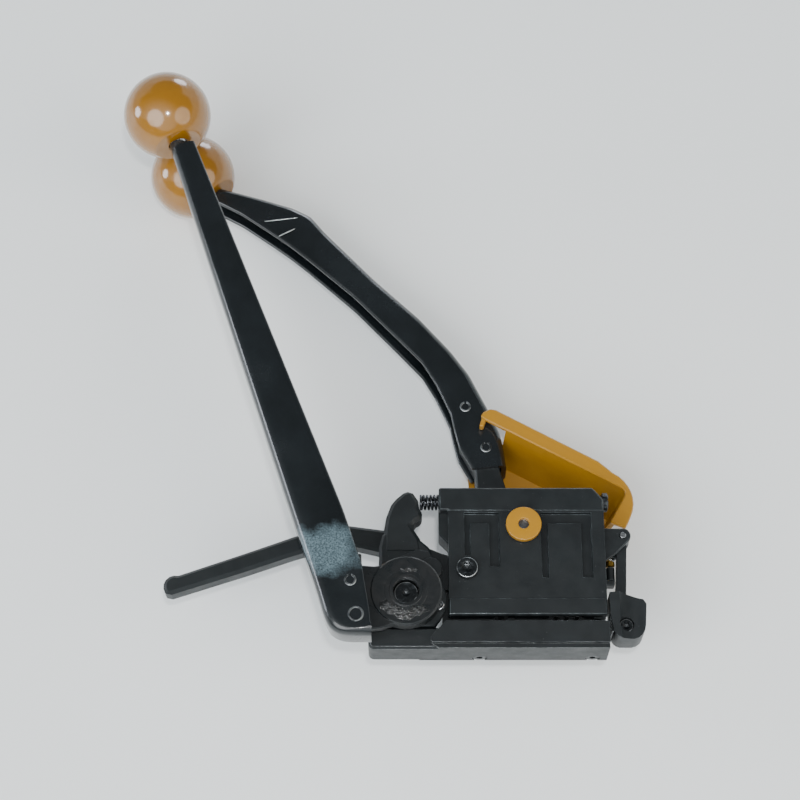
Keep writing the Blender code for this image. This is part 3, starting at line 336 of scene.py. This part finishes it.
def spun(profile, origin, axis=(0, 0, 1), around=96, hexed=None):
    """Spin a profile of (radius, height) about an axis; rows in hexed follow a hexagon instead.

    A hexagon's radius at an angle is its apothem over the cosine of the angle from the middle of a side.
    """
    axis = np.array(axis, float) / np.linalg.norm(axis)
    side = np.cross(axis, (0, 1, 0) if abs(axis[1]) < 0.9 else (1, 0, 0))
    side /= np.linalg.norm(side)
    other = np.cross(axis, side)
    turn = np.linspace(0, math.tau, around, endpoint=False)
    radius = np.repeat(profile[:, :1], around, axis=1)
    if hexed is not None:
        from_side = np.mod(turn, math.pi / 3) - math.pi / 6
        radius = np.where(hexed[:, None], radius / np.cos(from_side)[None, :], radius)
    flat = np.cos(turn)[None, :, None] * side + np.sin(turn)[None, :, None] * other
    return np.array(origin, float) + radius[:, :, None] * flat + profile[:, 1][:, None, None] * axis


def centre_of(cad_name):
    """Middle of a CAD node's box, in millimetres from the shaft axis."""
    low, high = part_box(cad_name)
    return (np.array(low) + np.array(high)) * 500 - AXIS


def span_of(cad_name):
    """Lowest and highest z of a CAD node, in millimetres."""
    low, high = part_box(cad_name)
    return low.z * 1000, high.z * 1000


# yellow enamel: sprayed and stoved over zinc primer, semi-gloss, with orange peel and grey finger dirt
yellow_enamel, tree, shader, place = new_material("mustard_enamel", Coat_Weight=0.25, Coat_Roughness=0.2)
dirt = noise(tree, place, 22.0, 5.0, 0.6)
paint = blend_colours(tree, ramp(tree, dirt, 0.3, 0.75), "#a87815", "#9c6e16")
smudge = ramp(tree, noise(tree, place, 6.0, 6.0, 0.7, 0.6), 0.62, 0.8, 0.0, 0.45)
paint = blend_colours(tree, smudge, paint, "#8a6424")
tree.links.new(shader.inputs["Base Color"], paint)
tree.links.new(shader.inputs["Roughness"], ramp(tree, dirt, 0.3, 0.7, 0.32, 0.46))
bumped(tree, shader, noise(tree, place, 2.2, 2.0), 0.06, 0.35)

# the same enamel on an edge, coloured lighter than the faces as a painted highlight, and chipped
# through to dark primer here and there
highlit_yellow_edge, tree, shader, place = new_material("chipped_enamel_edge_painted_highlight", Roughness=0.36)
chips = noise(tree, place, 5.0, 6.0, 0.8)
paint = blend_colours(tree, ramp(tree, chips, 0.3, 0.6), "#c79534", "#b2832a")
primer = blend_colours(tree, ramp(tree, chips, 0.66, 0.68), paint, "#3c2f20")
tree.links.new(shader.inputs["Base Color"], primer)
bumped(tree, shader, chips, 0.05, 0.4)

CAP_R, CAP_HOLE_R, CAP_ROUNDING = 9.5, 2.9, 0.55
low, high = span_of("sealing_shaft_cap")
profile = filleted([(CAP_HOLE_R, high - 1.2), (CAP_HOLE_R, high), (CAP_R, high), (CAP_R, low),
                    (CAP_HOLE_R, low), (CAP_HOLE_R, high - 1.2)], CAP_ROUNDING)
surface("sealing_cap_disc", spun(profile, (0, 0, 0)), yellow_enamel, "sealing_lever_assembly",
        ["sealing_shaft_cap"])


# the profile's first point and the arcs of three corners come before the crown's rounded rim
RIM_ROW = 1 + 3 * (ARC_STEPS + 1)


def screw_head(name, cad_name, head_r, head_low, crown, key_r, key_depth, shank_r, body):
    """A cap screw along z: a shank, a plain head with a rubbed rim, and a hexagon socket in its top."""
    tail = span_of(cad_name)[0]
    outer = filleted([(0, tail), (shank_r, tail), (shank_r, head_low), (head_r, head_low), (head_r, crown),
                      (key_r * 1.22, crown)], 0.5)
    inner = np.array([(key_r, crown - 0.25), (key_r, crown - key_depth),
                      (key_r * 0.35, crown - key_depth - 0.5), (0, crown - key_depth - 0.6)])
    profile = np.vstack([outer, inner])
    hexed = np.arange(len(profile)) >= len(outer)
    hexed[-1] = False
    grid = spun(profile, (*centre_of(cad_name)[:2], 0), hexed=hexed)
    surface(name, grid, screw_black, body, [cad_name], smooth=30,
            rubbed=(RIM_ROW, RIM_ROW + ARC_STEPS, worn_edge))


# blackened socket screws, rubbed bright on the crown by the key
screw_black, tree, shader, place = new_material("blackened_screw_steel", Metallic=0.6)
rub = noise(tree, place, 2.5, 5.0, 0.7)
tree.links.new(shader.inputs["Base Color"],
               blend_colours(tree, ramp(tree, rub, 0.5, 0.7), "#1d2022", "#4b5053"))
tree.links.new(shader.inputs["Roughness"], ramp(tree, rub, 0.3, 0.7, 0.4, 0.24))

high = span_of("rocker_pivot_bolt")[1]
screw_head("pivot_bolt", "rocker_pivot_bolt", 5.7, high - 3.4, high, 2.7, 2.4, 2.9, "frame")
high = span_of("gripper_screw")[1]
screw_head("toe_screw", "gripper_screw", 3.7, high - 3.7, high, 1.7, 2.0, 2.0, "gripper")
low, high = span_of("feed_shaft_screw")
screw_head("feed_retaining_screw", "feed_shaft_screw", 6.2, low, high - 2.0, 1.7, 1.2, 3.0, "feed_train")


# ---------------------------------------------------------------- knobs
# Ball knobs moulded in mustard phenolic resin, polished to a deep gloss. Each has a flat with a
# rounded rim where it seats on its lever, a blind hole, and a faint mould line round its middle.

# polished thermoset: strong even gloss over a body colour that drifts very slightly
phenolic, tree, shader, place = new_material(
    "mustard_phenolic", IOR=1.56, Coat_Weight=0.6, Coat_Roughness=0.04, Subsurface_Weight=0.04,
    Subsurface_Radius=(0.003, 0.002, 0.001))
drift = noise(tree, place, 30.0, 3.0, 0.5)
body_colour = blend_colours(tree, ramp(tree, drift, 0.3, 0.7), "#8f600f", "#84580d")
handling = ramp(tree, noise(tree, place, 3.0, 6.0, 0.75, 0.5), 0.64, 0.8, 0.0, 0.35)
tree.links.new(shader.inputs["Base Color"], blend_colours(tree, handling, body_colour, "#74521a"))
tree.links.new(shader.inputs["Roughness"], ramp(tree, handling, 0.0, 0.4, 0.16, 0.34))
bumped(tree, shader, noise(tree, place, 1.4, 3.0), 0.01, 0.25)

# the flat and the hole's floor lie KNOB_FLAT and HOLE_FLOOR from the ball's middle
KNOB_R, KNOB_FLAT, KNOB_HOLE_R, HOLE_FLOOR = 25.0, 20.9, 5.4, 3.0
SEAM_HEIGHT, SEAM_WIDTH = 0.06, 0.012


def ball_knob(name, cad_name, stud_name, body):
    """Profile from the far pole round the ball to the flat's rim, then down the hole to its floor.

    The mould line is a swelling of the radius, a bell curve of the angle about the ball's middle.
    The ball touches the low x and the high y side of its CAD box, and its flat faces its stud.
    """
    low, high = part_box(cad_name)
    centre = np.array([low.x * 1000 + KNOB_R, high.y * 1000 - KNOB_R, (low.z + high.z) * 500]) - AXIS
    axis = centre_of(stud_name) - centre
    rim = math.acos(KNOB_FLAT / KNOB_R)
    turn = np.linspace(math.pi, rim + 0.03, 72)
    seam = SEAM_HEIGHT * np.exp(-((turn - math.pi / 2) / SEAM_WIDTH) ** 2)
    ball = np.stack([(KNOB_R + seam) * np.sin(turn), (KNOB_R + seam) * np.cos(turn)], 1)
    flat_r = KNOB_R * math.sin(rim)
    seat = filleted([ball[-1], (flat_r - 0.2, KNOB_FLAT), (KNOB_HOLE_R, KNOB_FLAT),
                     (KNOB_HOLE_R, HOLE_FLOOR), (0, HOLE_FLOOR)], 0.8)
    profile = np.vstack([ball, seat[1:]])
    surface(name, spun(profile, centre, axis, around=128), phenolic, body, [cad_name],
            smooth=60)


ball_knob("tension_ball", "tension_knob", "tension_knob_stud", "tension_lever_assembly")
ball_knob("sealing_ball", "sealing_knob", "sealing_knob_stud", "sealing_lever_assembly")


# ---------------------------------------------------------------- levers
# Both levers are channels pressed from 2.8 mm sheet, with their open side turned inwards, dipped in
# gloss black enamel. The sheet's bends are about 5 mm, and its cut edges are rounded by the dip.

# gloss black stove enamel: wet-looking, with orange peel that is strongest low down, and fine dust
enamel, tree, shader, place = new_material("gloss_black_enamel", IOR=1.52, Coat_Weight=0.35,
                                           Coat_Roughness=0.08)
wear = noise(tree, place, 40.0, 5.0, 0.6)
tint = blend_colours(tree, ramp(tree, wear, 0.3, 0.7), "#0d1113", "#161b1e")
dust = ramp(tree, noise(tree, place, 0.8, 2.0), 0.77, 0.8, 0.0, 0.4)
tree.links.new(shader.inputs["Base Color"], blend_colours(tree, dust, tint, "#7f8688"))
tree.links.new(shader.inputs["Roughness"], ramp(tree, wear, 0.3, 0.7, 0.16, 0.3))
peel = noise(tree, place, 1.8, 3.0, 0.6)
bumped(tree, shader, peel, 0.09, 0.5)

# the same enamel on the tension lever, with a coarser peel, and near the hub a painted reflection:
# pale blue-grey flecks in the base colour stand in for light glinting off the peel
enamel_painted_reflection, tree, shader, place = new_material("black_enamel_painted_reflection", IOR=1.52, Coat_Weight=0.35,
                                             Coat_Roughness=0.08)
wear = noise(tree, place, 40.0, 5.0, 0.6)
tint = blend_colours(tree, ramp(tree, wear, 0.3, 0.7), "#0d1113", "#161b1e")
# the painted reflection fills an ellipsoid about this centre with these half widths, its outline
# made ragged by noise
REFLECTION_CENTRE = (AXIS + (-106.5, -22.5, 92.0)) / 1000
REFLECTION_HALF = (0.026, 0.019, 0.006)
shift = node(tree, "VectorMath", [(0, place)], operation="SUBTRACT")
shift.inputs[1].default_value = REFLECTION_CENTRE
squeeze = node(tree, "VectorMath", [(0, shift.outputs["Vector"])], operation="MULTIPLY")
squeeze.inputs[1].default_value = [1 / half for half in REFLECTION_HALF]
away = node(tree, "VectorMath", [(0, squeeze.outputs["Vector"])], operation="LENGTH").outputs["Value"]
fray = noise(tree, place, 14.0, 4.0)
ragged = node(tree, "Math", [(0, away), (1, fray)], operation="ADD").outputs["Value"]
reflection_mask = ramp(tree, ragged, 1.0, 1.35, 0.8, 0.0)
reflection_flecks = ramp(tree, noise(tree, place, 0.9, 3.0, 0.7), 0.24, 0.68)
painted_reflection = node(tree, "Math", [(0, reflection_mask), (1, reflection_flecks)], operation="MULTIPLY").outputs["Value"]
tree.links.new(shader.inputs["Base Color"], blend_colours(tree, painted_reflection, tint, "#718790"))
tree.links.new(shader.inputs["Roughness"], ramp(tree, wear, 0.3, 0.7, 0.16, 0.3))
bumped(tree, shader, noise(tree, place, 1.4, 3.0, 0.6), 0.12, 0.7)

SHEET, BEND = 2.8, 5.0
TAPER_START, TAPER = 0.33, 0.7
# points along a lever, points that each one is averaged over, and how far a flange bulges outwards
ALONG, AVERAGED, BULGE = 420, 15, 0.25


def channel(web, free, low, high, knob):
    """A U-section carried from station to station between the web's line and the free edge's line.

    Across the section, a point lies at a = p + q * width from the web and z = s + t * depth from the
    middle. Outside it runs along the back flange, round the bend, up the web, and out along the
    front flange; it turns round the rounded free edge and returns one sheet thickness inside.
    Both lines are resampled evenly and averaged over a short run, which rounds their corners. The
    depth is whole up to TAPER_START of the way to the knob and shrinks evenly to TAPER at the knob.
    Each flange bulges outwards as half a sine across its width.
    """
    web, free = np.array(web, float), np.array(free, float)
    run = np.concatenate([[0], np.cumsum(np.linalg.norm(np.diff((web + free) / 2, axis=0), axis=1)
                                         + np.linalg.norm(np.diff(web, axis=0), axis=1))])
    fine = np.linspace(0, run[-1], ALONG)
    kernel = np.hanning(AVERAGED)
    kernel /= kernel.sum()
    reach = AVERAGED // 2

    def smooth_line(line):
        columns = [np.interp(fine, run, line[:, k]) for k in range(2)]
        ends = [np.pad(c, reach, mode="reflect", reflect_type="odd") for c in columns]
        return np.stack([np.convolve(c, kernel, mode="valid") for c in ends], 1)

    web, free = smooth_line(web), smooth_line(free)
    width = np.linalg.norm(free - web, axis=1)
    across = (free - web) / width[:, None]
    knob = np.array(knob)
    share = np.clip(((web + free) / 2 @ knob / (knob @ knob) - TAPER_START) / (1 - TAPER_START), 0, 1)
    half = (high - low) / 2 * (1 + (TAPER - 1) * share)
    quarter = np.linspace(0, math.pi / 2, 9)
    flange = np.linspace(1, 0, 14)
    edge = SHEET / 2
    tip = np.linspace(-math.pi / 2, math.pi / 2, 7)
    inner_bend = BEND - SHEET
    # each row is p, q, s, t of one point; q and t are 1 where it follows the width and the depth
    back_out = np.stack([BEND * (1 - flange) - edge * flange, flange, 0 * flange, 0 * flange - 1], 1)
    bend_one = np.stack([BEND * (1 - np.sin(quarter)), 0 * quarter,
                         BEND * (1 - np.cos(quarter)), 0 * quarter - 1], 1)
    bend_two = bend_one[::-1] * [1, 1, -1, -1]
    front_out = back_out[::-1] * [1, 1, -1, -1]
    front_tip = np.stack([edge * np.cos(tip[::-1]) - edge, 0 * tip + 1,
                          edge * np.sin(tip[::-1]) - edge, 0 * tip + 1], 1)
    front_in = np.stack([BEND * (1 - flange) - edge * flange, flange,
                         0 * flange - SHEET, 0 * flange + 1], 1)
    in_two = np.stack([BEND - inner_bend * np.sin(quarter), 0 * quarter,
                       -BEND + inner_bend * np.cos(quarter), 0 * quarter + 1], 1)
    in_one = in_two[::-1] * [1, 1, -1, -1]
    back_in = front_in[::-1] * [1, 1, -1, -1]
    back_tip = front_tip[::-1] * [1, 1, -1, -1]
    section = np.vstack([back_out, bend_one[1:], bend_two, front_out[1:], front_tip[1:-1], front_in,
                         in_two[1:], in_one, back_in[1:], back_tip[1:-1]])
    p, q, s, t = [section[:, k][None, :] for k in range(4)]
    a = p + q * width[:, None]
    bulge = BULGE * np.sin(np.clip(a / width[:, None], 0, 1) * math.pi) * (np.abs(t) > 0)
    z = s + t * (half[:, None] + bulge)
    flat = web[:, None, :] + a[:, :, None] * across[:, None, :]
    return np.concatenate([flat, (z + (low + high) / 2)[:, :, None]], axis=2)


# the web's and the free edge's points on each lever, from the knob to the pivot, and the knobs' middles
TENSION_KNOB, SEALING_KNOB = (-200.7, 246.8), (-190.8, 239.0)
TENSION_STATIONS = [
    ((-198.1, 225.0), (-183.6, 225.4)), ((-157.3, 101.0), (-134.9, 100.0)), ((-124.2, 0.0), (-96.2, 0.0)),
    ((-112.6, -35.0), (-85.8, -31.0)), ((-108.2, -49.0), (-83.8, -43.0)), ((-105.8, -57.5), (-82.6, -50.0)),
    ((-103.0, -64.0), (-81.9, -54.5)), ((-98.2, -67.6), (-81.5, -58.0)), ((-92.0, -68.4), (-81.3, -60.3)),
    ((-86.0, -68.4), (-81.1, -61.6)), ((-81.0, -68.4), (-80.9, -62.4))]
low, high = span_of("tension_lever")
web, free = zip(*TENSION_STATIONS)
surface("tension_channel", channel(web, free, low + 0.2, high - 0.2, TENSION_KNOB),
        enamel_painted_reflection, "tension_lever_assembly", ["tension_lever"])

SEALING_STATIONS = [
    ((-172.0, 227.6), (-178.8, 218.8)), ((-148.0, 220.3), (-160.0, 208.3)),
    ((-129.5, 214.0), (-141.5, 194.9)), ((-119.0, 208.2), (-131.5, 187.3)),
    ((-110.5, 197.5), (-121.0, 178.4)), ((-80.4, 164.9), (-93.0, 152.8)),
    ((-54.7, 139.8), (-67.5, 125.4)), ((-37.0, 119.0), (-53.5, 110.0)), ((-26.7, 104.2), (-46.0, 97.0)),
    ((-15.5, 81.0), (-37.6, 78.0)), ((-9.7, 67.6), (-35.7, 68.0)), ((-7.7, 57.0), (-33.2, 57.5)),
    ((-6.6, 47.0), (-26.2, 45.0))]
low, high = span_of("sealing_lever")
web, free = zip(*SEALING_STATIONS)
surface("sealing_channel", channel(web, free, low + 0.2, high - 0.2, SEALING_KNOB),
        enamel, "sealing_lever_assembly", ["sealing_lever"])

# bare steel in a dent's crest, thinly scratched along its length
bare_crest, tree, shader, place = new_material("bare_steel_crest", Metallic=1.0, Roughness=0.34)
scratch = noise(tree, place, 2.0, 6.0, 0.7)
tree.links.new(shader.inputs["Base Color"],
               blend_colours(tree, ramp(tree, scratch, 0.35, 0.65), "#9ea3a3", "#d3d7d6"))


CREASE_HALF_WIDTH, CREASE_HEIGHT = 0.42, 0.4


def crease(name, start, stop):
    """A ridge the press raised: an ellipse across, which swells from nothing at both ends.

    Its swelling is the sine of the share of the way along, times half a turn, to the power 0.4.
    """
    start, stop = np.array(start, float), np.array(stop, float)
    u = np.linspace(0, 1, 40)[:, None]
    run = (stop - start) / np.linalg.norm(stop - start)
    side = np.cross((0, 0, 1), run)
    around = np.linspace(0, math.tau, 14, endpoint=False)[None, :, None]
    swell = np.sin(math.pi * u)[:, :, None] ** 0.4
    ridge = np.cos(around) * side * CREASE_HALF_WIDTH + np.sin(around) * np.array((0, 0, CREASE_HEIGHT))
    surface(name, (start + (stop - start) * u)[:, None, :] + ridge * swell, bare_crest,
            "sealing_lever_assembly")


crease("upper_press_crease", (-146.4, 203.3, 34.4), (-126.4, 205.7, 34.6))
crease("lower_press_crease", (-137.9, 193.1, 34.6), (-128.0, 198.4, 34.7))

# the spring pins and the rivet pin that cross the levers, and the forged arm under the sealing lever
for pin_name, lever in (("tension_roll_pin", "tension"), ("tension_rivet_pin", "tension"),
                        ("sealing_roll_pin_upper", "sealing"), ("sealing_roll_pin_lower", "sealing")):
    rounded(pin_name, 0.3, lever + "_lever_assembly", screw_black, worn_edge)

rounded("sealing_arm", 0.5, "sealing_lever_assembly", black_oxide, highlit_oxide_edge)


# ---------------------------------------------------------------- guard
# A tray pressed from 2.6 mm sheet and enamelled mustard yellow, with its rim turned outwards. It is
# bolted to the sealing arm's hub, so it swings with the sealing lever.

rounded("sealing_guard", 0.6, "sealing_lever_assembly", yellow_enamel, highlit_yellow_edge)


# ---------------------------------------------------------------- rocker, hub and feed drive
# The rocker and the hub are steel castings, fettled and blackened. The hub and the wheels under it
# work in grease, which films over them and collects in the corners.

# greased black oxide: oil-dark, with wet ridges where grease has been wiped thin
greased, tree, shader, place = new_material("greased_oxide_casting", Metallic=0.15, IOR=1.48,
                                            Coat_Weight=0.5, Coat_Roughness=0.12)
smear = noise(tree, place, 11.0, 6.0, 0.65, 1.4)
tree.links.new(shader.inputs["Base Color"],
               blend_colours(tree, ramp(tree, smear, 0.35, 0.7), "#0c0e0f", "#191d1f"))
tree.links.new(shader.inputs["Roughness"], ramp(tree, smear, 0.35, 0.7, 0.5, 0.2))
bumped(tree, shader, smear, 0.35, 0.5)

rounded("rocker", 1.0, "rocker_assembly", black_oxide, highlit_oxide_edge)
rounded("tension_hub", 0.4, "tension_lever_assembly", greased, highlit_oxide_edge)

# The collar round the bore and the turned steps outside it, on the hub's face.
HUB, HUB_FACE_Z = (-63.1, -41.5), 81.0
COLLAR_R, COLLAR_FOOT_Z = 6.9, 79.2
collar = filleted([(COLLAR_R, COLLAR_FOOT_Z), (COLLAR_R, HUB_FACE_Z + 0.55), (8.8, HUB_FACE_Z + 0.55),
                   (8.8, HUB_FACE_Z + 0.12), (11.2, HUB_FACE_Z + 0.12), (11.6, HUB_FACE_Z - 0.3),
                   (8.6, HUB_FACE_Z - 0.6), (COLLAR_R, COLLAR_FOOT_Z)], 0.2)
surface("hub_collar", spun(collar, (*HUB, 0)), greased, "tension_lever_assembly")

# thick dark grease, wet on top
grease, tree, shader, place = new_material("dark_bearing_grease", IOR=1.47, Coat_Weight=0.6,
                                           Coat_Roughness=0.05)
clots = noise(tree, place, 1.6, 4.0, 0.6)
tree.links.new(shader.inputs["Base Color"],
               blend_colours(tree, ramp(tree, clots, 0.35, 0.65), "#0b0b0b", "#1d1f1f"))
tree.links.new(shader.inputs["Roughness"], ramp(tree, clots, 0.3, 0.7, 0.08, 0.25))
bumped(tree, shader, clots, 0.5, 0.9)


def grease_smear(name, centre, base_z, near, far, start, stop, height, body):
    """A lumpy film that covers the hub's face from radius near to far and from angle start to stop.

    Both edges wander as two sine waves of the angle. The thickness is half a sine across and half a
    sine along, each flattened by a power below one, times crossed sine waves that make the lumps.
    """
    turn = np.radians(np.linspace(start, stop, 120))[:, None]
    across = np.linspace(0, 1, 40)[None, :]
    along = np.linspace(0, 1, 120)[:, None]
    wander = 0.6 * np.sin(turn * 7) + 0.35 * np.sin(turn * 17 + 1)
    radius = near + (far - near) * across + wander
    waves = (1.2 + np.sin(turn * 31 + across * 9) * np.sin(across * 16 + turn * 5)
             + 0.6 * np.sin(turn * 63 + 2 * across) * np.sin(across * 35)) / 2.8
    thick = height * (np.sin(math.pi * along) ** 0.5) * np.sin(math.pi * across) ** 0.7 * waves
    top = np.stack([centre[0] + radius * np.cos(turn), centre[1] + radius * np.sin(turn),
                    base_z + thick], -1)
    under = np.stack([top[..., 0], top[..., 1], np.full(thick.shape, base_z - 0.25)], -1)[:, ::-1]
    surface(name, np.concatenate([top, under], 1), grease, body, smooth=180)


grease_smear("hub_grease", HUB, HUB_FACE_Z, 9.4, 15.8, 205, 318, 0.75, "tension_lever_assembly")
grease_smear("hub_grease_above", HUB, HUB_FACE_Z, 10.2, 12.6, 62, 104, 0.45, "tension_lever_assembly")


# ---------------------------------------------------------------- gripper
# A forged lever with a broad toe, pivoted beside the housing and pressed shut by a chromed spring. A
# hardened pad under the toe bites on the strap's end.

rounded("gripper_lever", 0.5, "gripper", black_oxide, highlit_oxide_edge)
rounded("gripper_pad", 0.1, "gripper", black_oxide, worn_edge)


# ---------------------------------------------------------------- springs
# Cold-wound wire with its end turns closed down. The rocker's spring is blued and the gripper's is
# chromed, and each is squeezed between the two bodies that it pushes apart.

# blued spring wire: drawn lines show as thin bright streaks along the wire
blued_wire, tree, shader, place = new_material("blued_spring_wire", Metallic=0.9)
draw = noise(tree, place, 1.5, 4.0)
tree.links.new(shader.inputs["Base Color"],
               blend_colours(tree, ramp(tree, draw, 0.4, 0.65), "#2a2c30", "#6f7276"))
tree.links.new(shader.inputs["Roughness"], ramp(tree, draw, 0.3, 0.7, 0.22, 0.36))

# bright chromed wire
chromed_wire, tree, shader, place = new_material("chromed_spring_wire", Metallic=1.0)
draw = noise(tree, place, 1.2, 4.0)
tree.links.new(shader.inputs["Base Color"],
               blend_colours(tree, ramp(tree, draw, 0.3, 0.7), "#b9bcc0", "#dfe2e4"))
tree.links.new(shader.inputs["Roughness"], ramp(tree, draw, 0.3, 0.7, 0.1, 0.2))


CLOSED_TURN = 0.8


def coil(name, cad_name, start, stop, radius, wire, turns, material):
    """A tube whose middle line winds about the straight line from start to stop.

    Along the axis it stays put for the first and last CLOSED_TURN of a turn and advances evenly
    between, so the end turns lie closed.
    """
    start, stop = np.array(start, float), np.array(stop, float)
    length = np.linalg.norm(stop - start)
    axis = (stop - start) / length
    side = np.cross(axis, (0, 0, 1))
    other = np.cross(axis, side)
    u = np.linspace(0, 1, int(turns * 36))
    share = np.clip((u * turns - CLOSED_TURN) / (turns - 2 * CLOSED_TURN), 0, 1)
    advance = share * (length - 2 * wire) + wire
    turn = math.tau * turns * u
    outwards = np.cos(turn)[:, None] * side + np.sin(turn)[:, None] * other
    middle = start + outwards * radius + advance[:, None] * axis
    round_wire = np.linspace(0, math.tau, 12, endpoint=False)
    ring = (np.cos(round_wire)[None, :, None] * outwards[:, None, :]
            + np.sin(round_wire)[None, :, None] * axis[None, None, :])
    wound = surface(name, middle[:, None, :] + ring * wire, material, None, [cad_name])
    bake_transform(wound)


low, high = [np.array(c) * 1000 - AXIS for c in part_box("rocker_spring")]
middle = (low + high) / 2
coil("rocker_spring_wound", "rocker_spring", (low[0] + 0.2, *middle[1:]), (high[0] - 0.2, *middle[1:]),
     radius=3.7, wire=0.65, turns=11.3, material=blued_wire)
low, high = [np.array(c) * 1000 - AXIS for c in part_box("gripper_spring")]
middle = (low + high) / 2
coil("gripper_spring_wound", "gripper_spring", (middle[0], low[1] + 0.1, middle[2]),
     (middle[0], high[1] - 0.1, middle[2]), radius=1.7, wire=0.36, turns=5.0, material=chromed_wire)


# ---------------------------------------------------------------- small steel, brass and bronze pieces
# Pins, shafts, wheels, dies, bushes and screws keep their CAD shapes, because they are small or work
# inside, and get the finish of their making.

# ground and hardened steel: grey, fine cross lines, a film of oil
tool_steel, tree, shader, place = new_material("ground_tool_steel", Metallic=1.0)
lay = noise(tree, place, 2.0, 6.0, 0.7)
tree.links.new(shader.inputs["Base Color"],
               blend_colours(tree, ramp(tree, lay, 0.3, 0.7), "#5b5d60", "#85878a"))
tree.links.new(shader.inputs["Roughness"], ramp(tree, lay, 0.3, 0.7, 0.28, 0.42))
bumped(tree, shader, lay, 0.02, 0.4)

# bright drawn steel
bright_steel, tree, shader, place = new_material("bright_drawn_steel", Metallic=1.0)
lay = noise(tree, place, 1.5, 6.0, 0.7)
tree.links.new(shader.inputs["Base Color"],
               blend_colours(tree, ramp(tree, lay, 0.3, 0.7), "#a5a7a9", "#c6c8ca"))
tree.links.new(shader.inputs["Roughness"], ramp(tree, lay, 0.3, 0.7, 0.2, 0.34))

# turned brass, going brown
brass, tree, shader, place = new_material("turned_brass", Metallic=1.0)
tarnish = noise(tree, place, 3.0, 5.0, 0.65)
tree.links.new(shader.inputs["Base Color"],
               blend_colours(tree, ramp(tree, tarnish, 0.35, 0.7), "#b8913f", "#6f5126"))
tree.links.new(shader.inputs["Roughness"], ramp(tree, tarnish, 0.3, 0.7, 0.22, 0.42))

# sintered bronze bush, porous and oil-filled
bronze, tree, shader, place = new_material("sintered_bronze", Metallic=1.0)
pores = noise(tree, place, 0.6, 4.0, 0.7)
tree.links.new(shader.inputs["Base Color"],
               blend_colours(tree, ramp(tree, pores, 0.4, 0.6), "#6f4a2a", "#a8764a"))
tree.links.new(shader.inputs["Roughness"], ramp(tree, pores, 0.3, 0.7, 0.4, 0.6))
bumped(tree, shader, pores, 0.05, 0.5)

FINISH_OF_SLOT = {"black_oxide_steel": screw_black, "black_enamel_steel": enamel,
                  "yellow_enamel": yellow_enamel, "yellow_phenolic": phenolic,
                  "bright_steel": bright_steel, "hardened_tool_steel": tool_steel,
                  "brass": brass, "sintered_bronze": bronze}
for entry in frame["record"]["subparts"]:
    cad_node = frame["nodes"][entry["node"]]
    if cad_node.hide_render:
        continue
    for slot in cad_node.material_slots:
        slot.material = FINISH_OF_SLOT[entry["material_slot"]]
